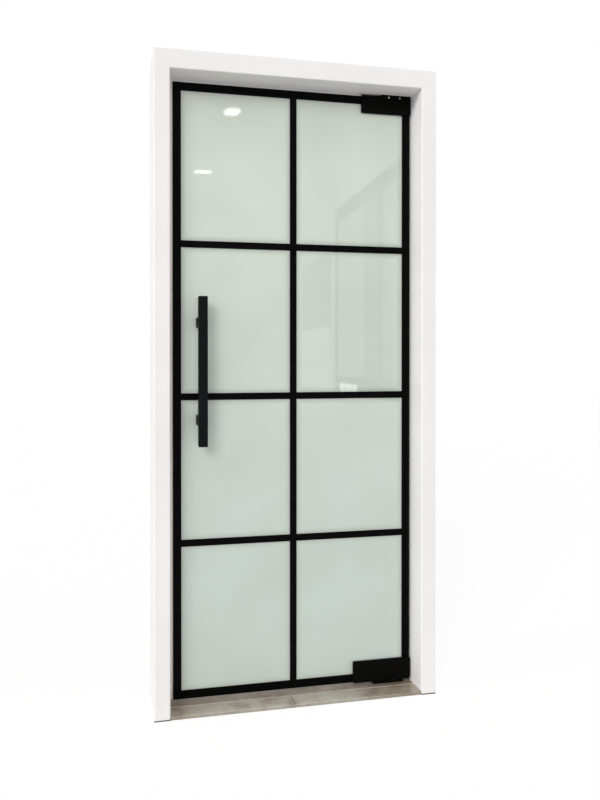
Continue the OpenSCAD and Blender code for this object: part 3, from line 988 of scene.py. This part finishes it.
class Palette:
    """The door's finishes, each made into a material once."""

    def __init__(self, styles: Mapping[Slot, Finish]) -> None:
        """Note the finishes and each solid's slot.

        Args:
            styles: Finishes by slot.
        """
        self.styles = styles
        self.made: dict[Finish, bpy.types.Material] = {}
        subparts = frame["record"]["subparts"]
        self.slots = {entry["node"]: Slot(entry["material_slot"]) for entry in subparts}

    def material(self, finish: Finish) -> bpy.types.Material:
        """Take a finish's material, made when it is first asked for.

        Args:
            finish: The finish.

        Returns:
            Its material.
        """
        if finish not in self.made:
            self.made[finish] = finish.material()
        return self.made[finish]

    def dress_solid(self, node: str, finish: Finish | None) -> None:
        """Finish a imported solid.

        Args:
            node: Name of the solid.
            finish: Finish in place of its slot's own, if any.
        """
        solid = frame["nodes"][node]
        material = self.material(finish or self.styles[self.slots[node]])
        solid.data.materials.clear()
        solid.data.materials.append(material)
        LOG.info("solid %s in %s", node, material.name)

    def dress_piece(self, piece: Piece) -> None:
        """Finish a new piece and let it ride on its body.

        Args:
            piece: The piece, in place.
        """
        material = self.material(piece.finish or self.styles[piece.slot])
        piece.form.data.materials.append(material)
        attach(piece.form, piece.body.value)
        if piece.stands_for:
            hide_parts(piece.stands_for)
        LOG.info("piece %s in %s on %s", piece.form.name, material.name, piece.body.value)


@dataclass
class SubAssembly:
    """Pieces of the door that are made and finished together.

    Attributes:
        palette: The door's finishes.
        solids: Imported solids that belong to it.
    """

    palette: Palette
    solids: ClassVar[tuple[str, ...]] = ()

    def build(self) -> list[Piece]:
        """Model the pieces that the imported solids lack; none unless a sub-assembly says so."""
        return []

    def own_finish(self, node: str) -> Finish | None:
        """Finish of a solid in place of its slot's own; none unless a sub-assembly says so."""
        return None

    def dress(self, pieces: Sequence[Piece]) -> None:
        """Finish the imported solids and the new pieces.

        Args:
            pieces: What build made.
        """
        for node in self.solids:
            self.palette.dress_solid(node, self.own_finish(node))
        for piece in pieces:
            self.palette.dress_piece(piece)


@dataclass
class Threshold(SubAssembly):
    """Stone slabs between the posts, with their cement joints.

    Attributes:
        under_leaf: Finish of the slab under the leaf, which feet have dulled; its darker tone is partly
        painted shade under the leaf.
    """

    solids: ClassVar[tuple[str, ...]] = (
        "threshold_front",
        "threshold_centre",
        "threshold_rear",
        "threshold_grout",
    )

    # Honed limestone: the same stone with its polish rubbed off, pinkish and dry, and darker
    # partly as painted shade under the leaf.
    under_leaf: Finish = CutStone(
        "honed limestone", "#aa9d90", 0.5, specular=0.4, dark="#938578", light="#bcafa3", pit=0.12
    )

    def own_finish(self, node: str) -> Finish | None:
        """Dull the slab under the leaf and leave the others to their slot."""
        return self.under_leaf if node == "threshold_centre" else None


@dataclass
class BoxFrame(SubAssembly):
    """White posts and head rail, with corner screws, anchor caps and dark beads of painted shadow at the
    feet.

    Attributes:
        cap_r: Radius of an anchor cap, in millimetres.
        cap_rise: How far a cap stands off the post, in millimetres.
        cap_rounding: Rounding of a cap's rim, in millimetres.
        cap_steps: Facets of that rounding.
        cap_sides: Facets round a cap.
        corner_head_r: Radius of a corner screw's head, in millimetres.
        corner_head_h: Height of its cone, in millimetres.
        corner_shank_r: Radius of its shank, in millimetres.
        bead: Height and depth of the dark bead along a post's foot, painted contact shadow, in millimetres.
        bead_steps: Facets of the bead's hollow face.
        painted_foot_shadow: Finish of the bead, dark as the contact shadow that it paints.
    """

    solids: ClassVar[tuple[str, ...]] = ("strike_post", "hinge_post", "head_rail", "corner_screws")

    cap_r: float = 9.0
    cap_rise: float = 2.0
    cap_rounding: float = 1.2
    cap_steps: int = 4
    cap_sides: int = 32
    corner_head_r: float = 6.0
    corner_head_h: float = 3.0
    corner_shank_r: float = 3.0
    bead: float = 3.0
    bead_steps: int = 6

    # Dark grey-brown bead, smooth and a little shiny like silicone: painted contact shadow at the posts'
    # feet.
    painted_foot_shadow: Finish = MottledMatter(
        "dark foot shadow bead", "#665d54", 0.4, specular=0.4, shade="#564e46", patch=25.0
    )

    def anchor_mouths(self) -> list[Stand]:
        """Find the anchor holes' inner mouths from the record's bolt patterns.

        Returns:
            Places on the posts' inner faces.
        """
        mouths = []
        for mount in frame["record"]["mounts"]:
            if mount["kind"] != "bolt_pattern":
                continue
            centre, outward = Vector(mount["pos_m"]), Vector(mount["axis"])
            low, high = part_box("hinge_post" if outward.x > 0 else "strike_post")
            inner = low.x if outward.x > 0 else high.x
            reach = mount["dims"]["spacing_y_mm"] * MM / 2
            for z in (centre.z - reach, centre.z + reach):
                mouths.append(Stand(Vector((inner, centre.y, z)), -outward))
        return mouths

    def build_caps(self) -> bpy.types.Object:
        """Model the push-in caps over the anchors.

        Returns:
            The caps, as one piece.
        """
        bm = bmesh.new()
        rise = self.cap_rise * MM
        for mouth in self.anchor_mouths():
            made = bmesh.ops.create_cone(
                bm,
                cap_ends=True,
                segments=self.cap_sides,
                radius1=self.cap_r * MM,
                radius2=self.cap_r * MM,
                depth=rise,
                matrix=facing(mouth.normal, mouth.place + mouth.normal * rise / 2),
            )
            rim = {
                edge
                for vert in made["verts"]
                for edge in vert.link_edges
                if all((end.co - mouth.place).dot(mouth.normal) > rise / 2 for end in edge.verts)
            }
            bmesh.ops.bevel(
                bm,
                geom=list(rim),
                offset=self.cap_rounding * MM,
                offset_type="OFFSET",
                segments=self.cap_steps,
                profile=0.5,
                affect="EDGES",
                material=-1,
            )
        return finish_mesh(bm, "anchor_caps")

    def build_beads(self) -> bpy.types.Object:
        """Model dark beads of painted contact shadow where the posts' front and rear faces meet the floor.

        Returns:
            The beads, as one piece.
        """
        bm = bmesh.new()
        leg = self.bead * MM
        outline = [(0.0, 0.0)]
        for step in range(self.bead_steps + 1):
            turn = math.pi / 2 * step / self.bead_steps
            outline.append((leg * (1 - math.sin(turn)), leg * (1 - math.cos(turn))))
        for post in ("strike_post", "hinge_post"):
            low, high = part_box(post)
            for y, outward in ((low.y, -1), (high.y, 1)):
                ring = [bm.verts.new((low.x, y + outward * reach, low.z + rise)) for reach, rise in outline]
                end = bm.faces.new(ring)
                swept = bmesh.ops.extrude_face_region(bm, geom=[end], use_keep_orig=True)["geom"]
                moved = [item for item in swept if isinstance(item, bmesh.types.BMVert)]
                bmesh.ops.translate(bm, verts=moved, vec=(high.x - low.x, 0, 0))
        return finish_mesh(bm, "foot_shadow_bead")

    def build_corner_screws(self) -> bpy.types.Object:
        """Model the screws through the head rail into the posts.

        Returns:
            The screws, as one piece.
        """
        low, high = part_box("corner_screws")
        length = (high.z - low.z) / MM
        screw = SocketScrew.countersunk(
            self.corner_head_r, self.corner_head_h, self.corner_shank_r, length
        )
        return screw.set_out("corner_socket_screws", corner_stands("corner_screws", self.corner_head_r))

    def build(self) -> list[Piece]:
        """Model the caps, the dark beads at the feet and the corner screws.

        Returns:
            The new pieces.
        """
        return [
            Piece(self.build_caps(), Slot.LACQUER, Body.FRAME),
            Piece(self.build_beads(), Slot.GASKET, Body.FRAME, finish=self.painted_foot_shadow),
            Piece(self.build_corner_screws(), Slot.STEEL, Body.FRAME, stands_for="corner_screws"),
        ]


@dataclass
class Pivots(SubAssembly):
    """Head and floor pivots on the frame: plates, pin, spindle, and their screws.

    Attributes:
        plate_head_r: Radius of a plate screw's head, in millimetres.
        plate_head_h: Height of its cone, in millimetres.
        plate_shank_r: Radius of its shank, in millimetres.
        head_row: Places of the head plate's screws, as shares of half their row.
        blackened: Finish of the plates' screws.
    """

    solids: ClassVar[tuple[str, ...]] = (
        "head_pivot_plate",
        "head_pivot_pin",
        "head_pivot_screws",
        "floor_pivot_plate",
        "floor_spindle",
        "floor_pivot_screws",
    )

    plate_head_r: float = 4.5
    plate_head_h: float = 2.4
    plate_shank_r: float = 2.25
    head_row: tuple[float, ...] = (-1.0, -0.5, 0.5, 1.0)

    # Blackened steel: dark under a thin film of oil, so that only its rims catch light.
    blackened: Finish = TurnedMetal("blackened steel", "#2e2f31", 0.42, metallic=1.0, shade="#222325")

    def plate_screw(self, length: float) -> SocketScrew:
        """Screw of the plates, for a length in metres."""
        sizes = (self.plate_head_r, self.plate_head_h, self.plate_shank_r)
        return SocketScrew.countersunk(*sizes, length / MM)

    def build_head_screws(self) -> bpy.types.Object:
        """Model the row of screws under the head plate.

        Returns:
            The screws, as one piece.
        """
        low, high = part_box("head_pivot_screws")
        middle = (low + high) / 2
        outer = high.x - self.plate_head_r * MM - middle.x
        stands = [
            Stand(Vector((middle.x + share * outer, middle.y, low.z)), DOWN) for share in self.head_row
        ]
        return self.plate_screw(high.z - low.z).set_out("head_plate_socket_screws", stands)

    def build_floor_screws(self) -> bpy.types.Object:
        """Model the four screws down through the floor plate.

        Returns:
            The screws, as one piece.
        """
        low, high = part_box("floor_pivot_screws")
        stands = corner_stands("floor_pivot_screws", self.plate_head_r)
        return self.plate_screw(high.z - low.z).set_out("floor_plate_socket_screws", stands)

    def build(self) -> list[Piece]:
        """Model the plates' screws.

        Returns:
            The new pieces.
        """
        return [
            Piece(self.build_head_screws(), Slot.STEEL, Body.FRAME, "head_pivot_screws", self.blackened),
            Piece(self.build_floor_screws(), Slot.STEEL, Body.FRAME, "floor_pivot_screws", self.blackened),
        ]


@dataclass
class GlassLeaf(SubAssembly):
    """The opal pane with its black strips on both faces and the seal on its closing edge.

    Attributes:
        strips: Strips that either face has.
    """

    strips: ClassVar[tuple[str, ...]] = (
        "left_stile",
        "right_stile",
        "top_rail",
        "bottom_rail",
        "upright_bar",
        "low_left_bar",
        "low_right_bar",
        "mid_left_bar",
        "mid_right_bar",
        "high_left_bar",
        "high_right_bar",
    )
    solids: ClassVar[tuple[str, ...]] = (
        "glass_pane",
        "edge_seal",
        *(f"front_{strip}" for strip in strips),
        *(f"rear_{strip}" for strip in strips),
    )


@dataclass
class PatchFittings(SubAssembly):
    """Top and bottom patch fittings, clamped through the notched glass, with set screws at the top.

    Attributes:
        adjuster_x: From the pivot axis to the screw that adjusts the pin, along X in millimetres.
        adjuster_r: Radius of its domed head, in millimetres.
        lock_x: From the pivot axis to the screw that locks it, along X in millimetres.
        lock_r: Radius of its domed head, in millimetres.
        screw_drop: From the patch's top to the middle of either screw, in millimetres.
        dome_share: Rise of a whole dome, as a share of its radius.
        dome_steps: Facets up the dome, to where the socket's rim ends it.
        socket_share: Radius of a hexagon, as a share of the dome's radius.
        socket_depth: Depth of a socket, as a share of the dome's rise.
    """

    solids: ClassVar[tuple[str, ...]] = (
        "top_patch_body",
        "top_patch_clamp",
        "top_patch_gaskets",
        "top_patch_bolts",
        "top_patch_front_cover",
        "top_patch_rear_cover",
        "head_pivot_bush",
        "closer_housing",
        "bottom_patch_clamp",
        "bottom_patch_gaskets",
        "bottom_patch_bolts",
        "bottom_patch_front_cover",
        "bottom_patch_rear_cover",
        "spindle_bush",
    )

    adjuster_x: float = -26.0
    adjuster_r: float = 3.4
    lock_x: float = 15.0
    lock_r: float = 2.5
    screw_drop: float = 3.2
    dome_share: float = 0.55
    dome_steps: int = 5
    socket_share: float = 0.3
    socket_depth: float = 0.5

    def build_set_screws(self, name: str, offset: float, radius: float) -> bpy.types.Object:
        """Model one domed screw on each cover of the top patch.

        Args:
            name: Name of the piece.
            offset: From the pivot axis to the screws, along X in millimetres.
            radius: Radius of a head, in millimetres.

        Returns:
            The screws, as one piece.
        """
        pin_low, pin_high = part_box("head_pivot_pin")
        front_low, front_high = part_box("top_patch_front_cover")
        _, rear_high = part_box("top_patch_rear_cover")
        x = (pin_low.x + pin_high.x) / 2 + offset * MM
        z = front_high.z - self.screw_drop * MM
        faces = ((front_low.y, FRONTWARD), (rear_high.y, REARWARD))
        stands = [Stand(Vector((x, y, z)), normal) for y, normal in faces]
        rise = radius * self.dome_share
        turns = [SIXTH_TURN * step / self.dome_steps for step in range(self.dome_steps + 1)]
        dome = [(radius * math.cos(turn), rise * math.sin(turn)) for turn in turns]
        screw = SocketScrew(
            ((0, 0), *dome), socket=radius * self.socket_share, depth=rise * self.socket_depth
        )
        return screw.set_out(name, stands)

    def build(self) -> list[Piece]:
        """Model the screws that adjust and lock the head pin.

        Returns:
            The new pieces.
        """
        adjusters = self.build_set_screws("pivot_adjusters", self.adjuster_x, self.adjuster_r)
        locks = self.build_set_screws("pivot_lock_screws", self.lock_x, self.lock_r)
        return [Piece(adjusters, Slot.STEEL, Body.LEAF), Piece(locks, Slot.STEEL, Body.LEAF)]


@dataclass
class PullHandles(SubAssembly):
    """Square pull bars on both faces, on stand-off posts with grub screws underneath.

    Attributes:
        grub_r: Radius of a grub screw, in millimetres.
        grub_rise: How far it stands out of the post, in millimetres.
        grub_socket: Radius of its hexagon, in millimetres.
        grub_depth: Depth of its socket, in millimetres.
    """

    solids: ClassVar[tuple[str, ...]] = (
        "front_pull_bar",
        "rear_pull_bar",
        "front_pull_posts",
        "rear_pull_posts",
        "pull_pads",
        "pull_bolts",
        "pull_sleeves",
    )

    grub_r: float = 2.5
    grub_rise: float = 0.4
    grub_socket: float = 1.4
    grub_depth: float = 0.32

    def build(self) -> list[Piece]:
        """Model the grub screws under the posts.

        Returns:
            The new pieces.
        """
        stands = []
        for node in ("front_pull_posts", "rear_pull_posts"):
            low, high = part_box(node)
            middle = (low + high) / 2
            # The posts are square, so the upper one's underside lies its own width below its top.
            for foot in (low.z, high.z - (high.x - low.x)):
                stands.append(Stand(Vector((middle.x, middle.y, foot)), DOWN))
        outline = ((0, 0), (self.grub_r, 0), (self.grub_r, self.grub_rise))
        grub = SocketScrew(outline, socket=self.grub_socket, depth=self.grub_depth)
        return [Piece(grub.set_out("pull_grub_screws", stands), Slot.STEEL, Body.LEAF)]


@dataclass
class FarLamp:
    """Lamp so far off that its light is even over the door.

    Attributes:
        name: Name of the lamp.
        turn: Angle to the left of the view straight onto the front, in degrees.
        rise: Height above the horizon, in degrees.
        spread: Apparent size, in degrees, which softens its shadows.
        strength: Irradiance on a surface that faces it.
    """

    name: str
    turn: float
    rise: float
    spread: float
    strength: float

    def build(self) -> bpy.types.Object:
        """Set the lamp.

        Returns:
            The lamp.
        """
        data = bpy.data.lights.new(self.name, "SUN")
        data.energy = self.strength
        data.angle = math.radians(self.spread)
        lamp = bpy.data.objects.new(self.name, data)
        lamp.rotation_euler = aim(self.turn, self.rise)
        bpy.context.collection.objects.link(lamp)
        return lamp


@dataclass
class CeilingPanel:
    """Small lamp overhead that the polished glass mirrors as a bright patch.

    Attributes:
        name: Name of the lamp.
        place: Its centre, in metres.
        width: Size along X, in metres.
        depth: Size along Y, in metres.
        glow: Radiance of a rectangle, where white paper is about one; an ellipse is brighter by 4/pi.
        shape: Its outline.
    """

    name: str
    place: tuple[float, float, float]
    width: float
    depth: float
    glow: float
    shape: PanelShape = PanelShape.RECTANGLE

    def build(self) -> bpy.types.Object:
        """Hang the lamp, facing down.

        Returns:
            The lamp.
        """
        data = bpy.data.lights.new(self.name, "AREA")
        data.shape = self.shape.value
        data.size = self.width
        data.size_y = self.depth
        data.energy = self.glow * math.pi * self.width * self.depth
        lamp = bpy.data.objects.new(self.name, data)
        lamp.location = self.place
        bpy.context.collection.objects.link(lamp)
        return lamp


@dataclass(frozen=True)
class WallField:
    """Upright field of the mirrored wall.

    Attributes:
        name: Name of its material.
        start: From the wall's far end to the field's far edge, in metres.
        stop: From the wall's far end to its near edge, in metres.
        low: Height of its lower edge, in metres.
        high: Height of its upper edge, in metres.
        glow: Radiance, where the room is one.
    """

    name: str
    start: float
    stop: float
    low: float
    high: float
    glow: float

    def material(self) -> bpy.types.Material:
        """Make the field's plain glow.

        Returns:
            The material.
        """
        material = bare_material(self.name)
        light = add_node(material.node_tree, "ShaderNodeEmission", {"Strength": self.glow})
        add_node(
            material.node_tree, "ShaderNodeOutputMaterial", links={"Surface": light.outputs["Emission"]}
        )
        return material


@dataclass
class MirroredWall:
    """Window wall at the right, out of view, that only polished surfaces mirror.

    Attributes:
        near: Its end beside the door, X and Y in metres.
        far: Its far end, X and Y in metres.
        step: How far each field stands in front of the one before it, in metres.
        fields: The wall itself, then what is set on it.
    """

    near: tuple[float, float] = (1.316, -1.0)
    far: tuple[float, float] = (1.534, -4.81)
    step: float = 0.004
    fields: tuple[WallField, ...] = (
        WallField("dark wall", start=0.0, stop=3.8, low=0.85, high=2.595, glow=0.0),
        WallField("dim board", start=-1.75, stop=-0.19, low=1.48, high=2.222, glow=0.35),
        WallField("lit plinth", start=-1.75, stop=-0.19, low=0.85, high=1.48, glow=1.3),
        WallField("first window", start=0.17, stop=1.15, low=1.0, high=2.44, glow=0.75),
        WallField("window leaf", start=1.22, stop=1.54, low=1.0, high=2.44, glow=0.3),
        WallField("second window", start=1.72, stop=3.6, low=1.0, high=2.455, glow=0.45),
        WallField("lit sill", start=0.3, stop=0.95, low=0.86, high=0.94, glow=3.4),
    )

    def build(self) -> bpy.types.Object:
        """Stand the wall with its fields.

        Returns:
            The wall.
        """
        far = Vector((*self.far, 0))
        along = (Vector((*self.near, 0)) - far).normalized()
        forward = along.cross(DOWN)
        bm = bmesh.new()
        for index, panel in enumerate(self.fields):
            level = UP * (panel.low + panel.high) / 2
            centre = far + along * (panel.start + panel.stop) / 2 + level + forward * self.step * index
            half_width = along * (panel.stop - panel.start) / 2
            half_height = UP * (panel.high - panel.low) / 2
            spread = Matrix((half_width, half_height, forward)).transposed().to_4x4()
            made = bmesh.ops.create_grid(
                bm, x_segments=1, y_segments=1, size=1, matrix=Matrix.Translation(centre) @ spread
            )
            made["verts"][0].link_faces[0].material_index = index
        wall = finish_mesh(bm, "mirrored_wall")
        for panel in self.fields:
            wall.data.materials.append(panel.material())
        wall.visible_camera = False
        wall.visible_diffuse = False
        wall.visible_transmission = False
        wall.visible_shadow = False
        return wall


@dataclass
class ViewCamera:
    """Camera at the angle that the door is seen from.

    Attributes:
        place: Its place, in metres.
        turn: Turn to the right of the view straight onto the front, in degrees.
        dip: Tilt below the horizon, in degrees.
        lens: Focal length, in millimetres.
        sensor: Longer side of the picture area, in millimetres.
        shift: Rise of the picture area, as a share of that side.
    """

    place: tuple[float, float, float] = (-0.6423, -2.7676, 1.1775)
    turn: float = 13.565
    dip: float = 0.404
    lens: float = 36.63
    sensor: float = 36.0
    shift: float = -0.0466

    def build(self) -> bpy.types.Object:
        """Set the camera and make it the scene's own.

        Returns:
            The camera.
        """
        data = bpy.data.cameras.new("view_camera")
        data.sensor_width = self.sensor
        data.lens = self.lens
        data.shift_y = self.shift
        camera = bpy.data.objects.new("view_camera", data)
        camera.location = self.place
        camera.rotation_euler = aim(self.turn, self.dip)
        bpy.context.collection.objects.link(camera)
        bpy.context.scene.camera = camera
        return camera


@dataclass
class Studio:
    """White room: floor, sky, lamps and camera.

    Attributes:
        floor_size: Side of the floor, in metres.
        floor_drop: Gap under the door, in metres.
        floor_colour: Paint of the floor, sRGB hex.
        floor_share: Share of the floor that the camera sees as its own white glow.
        floor_glow: Strength of that glow.
        sky: Light of the room on matt surfaces.
        far_lamps: Key light from the front, fill light from the left and a little from the right.
        panels: Ceiling panels, each with a dimmer rim, that show in the upper left pane.
        wall: Window wall that shows in the right panes.
        camera: The view.
    """

    floor_size: float = 40.0
    floor_drop: float = 0.2 * MM
    floor_colour: str = "#f3f3f2"
    floor_share: float = 0.8
    floor_glow: float = 1.08
    sky: float = 0.527
    far_lamps: tuple[FarLamp, ...] = (
        FarLamp("key_light", turn=30.0, rise=24.0, spread=28.0, strength=1.2),
        FarLamp("left_fill", turn=82.0, rise=5.2, spread=5.0, strength=0.91),
        FarLamp("right_fill", turn=-60.0, rise=12.0, spread=40.0, strength=0.48),
    )
    panels: tuple[CeilingPanel, ...] = (
        CeilingPanel("near_panel", (0.188, -2.6, 2.8), width=0.088, depth=0.14, glow=4.0),
        CeilingPanel(
            "near_rim", (0.188, -2.6, 2.801), width=0.122, depth=0.22, glow=2.5, shape=PanelShape.ELLIPSE
        ),
        CeilingPanel("far_panel", (0.209, -4.391, 2.8), width=0.135, depth=0.112, glow=4.0),
        CeilingPanel("far_rim", (0.209, -4.391, 2.801), width=0.165, depth=0.16, glow=2.5),
    )
    wall: MirroredWall = field(default_factory=MirroredWall)
    camera: ViewCamera = field(default_factory=ViewCamera)

    def seen_plainly(self, tree: bpy.types.NodeTree) -> bpy.types.NodeSocket:
        """Tell rays that should see plain white from rays that carry light.

        Args:
            tree: Node tree of the floor or the sky.

        Returns:
            One for camera, glossy and transmission rays, else zero.
        """
        rays = add_node(tree, "ShaderNodeLightPath").outputs
        seen = rays["Is Camera Ray"]
        for kind in ("Is Glossy Ray", "Is Transmission Ray"):
            either = {0: seen, 1: rays[kind]}
            seen = add_node(tree, "ShaderNodeMath", {"operation": "MAXIMUM"}, either).outputs["Value"]
        return seen

    def build_floor(self) -> bpy.types.Object:
        """Lay a pale floor that glows for the camera and keeps the door's shadow.

        Returns:
            The floor.
        """
        bm = bmesh.new()
        bmesh.ops.create_grid(
            bm,
            x_segments=1,
            y_segments=1,
            size=self.floor_size / 2,
            matrix=Matrix.Translation(DOWN * self.floor_drop),
        )
        floor = finish_mesh(bm, "studio_floor")
        material = bare_material("pale studio floor")
        tree = material.node_tree
        matt = add_node(tree, "ShaderNodeBsdfDiffuse", {"Color": linear(self.floor_colour)})
        glow = add_node(tree, "ShaderNodeEmission", {"Strength": self.floor_glow})
        share = add_node(
            tree,
            "ShaderNodeMath",
            {"operation": "MULTIPLY", 1: self.floor_share},
            {0: self.seen_plainly(tree)},
        )
        mixed = add_node(
            tree,
            "ShaderNodeMixShader",
            links={0: share.outputs["Value"], 1: matt.outputs["BSDF"], 2: glow.outputs["Emission"]},
        )
        add_node(tree, "ShaderNodeOutputMaterial", links={"Surface": mixed.outputs["Shader"]})
        floor.data.materials.append(material)
        return floor

    def build_sky(self) -> None:
        """Light the room evenly and show it as white."""
        world = bpy.data.worlds.new("white room")
        world.use_nodes = True
        tree = world.node_tree
        tree.nodes.clear()
        strength = add_node(
            tree,
            "ShaderNodeMapRange",
            {"To Min": self.sky, "To Max": 1.0},
            {"Value": self.seen_plainly(tree)},
        )
        glow = add_node(
            tree,
            "ShaderNodeBackground",
            {"Color": linear(WHITE)},
            {"Strength": strength.outputs["Result"]},
        )
        add_node(tree, "ShaderNodeOutputWorld", links={"Surface": glow.outputs["Background"]})
        bpy.context.scene.world = world

    def build(self) -> None:
        """Set up the whole room."""
        self.build_floor()
        self.build_sky()
        for lamp in (*self.far_lamps, *self.panels):
            LOG.info("lamp %s", lamp.build().name)
        LOG.info("stage %s", self.wall.build().name)
        self.camera.build()
        bpy.context.scene.view_settings.view_transform = "Standard"


def main() -> None:
    """Build and dress the sub-assemblies and set up the room."""
    logging.basicConfig(level=logging.INFO, format="%(name)s: %(message)s")
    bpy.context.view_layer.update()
    palette = Palette(finishes())
    for sub_assembly in (Threshold, BoxFrame, Pivots, GlassLeaf, PatchFittings, PullHandles):
        part = sub_assembly(palette)
        part.dress(part.build())
        LOG.info("sub-assembly %s done", sub_assembly.__name__)
    Studio().build()


if __name__ == "__main__":
    main()
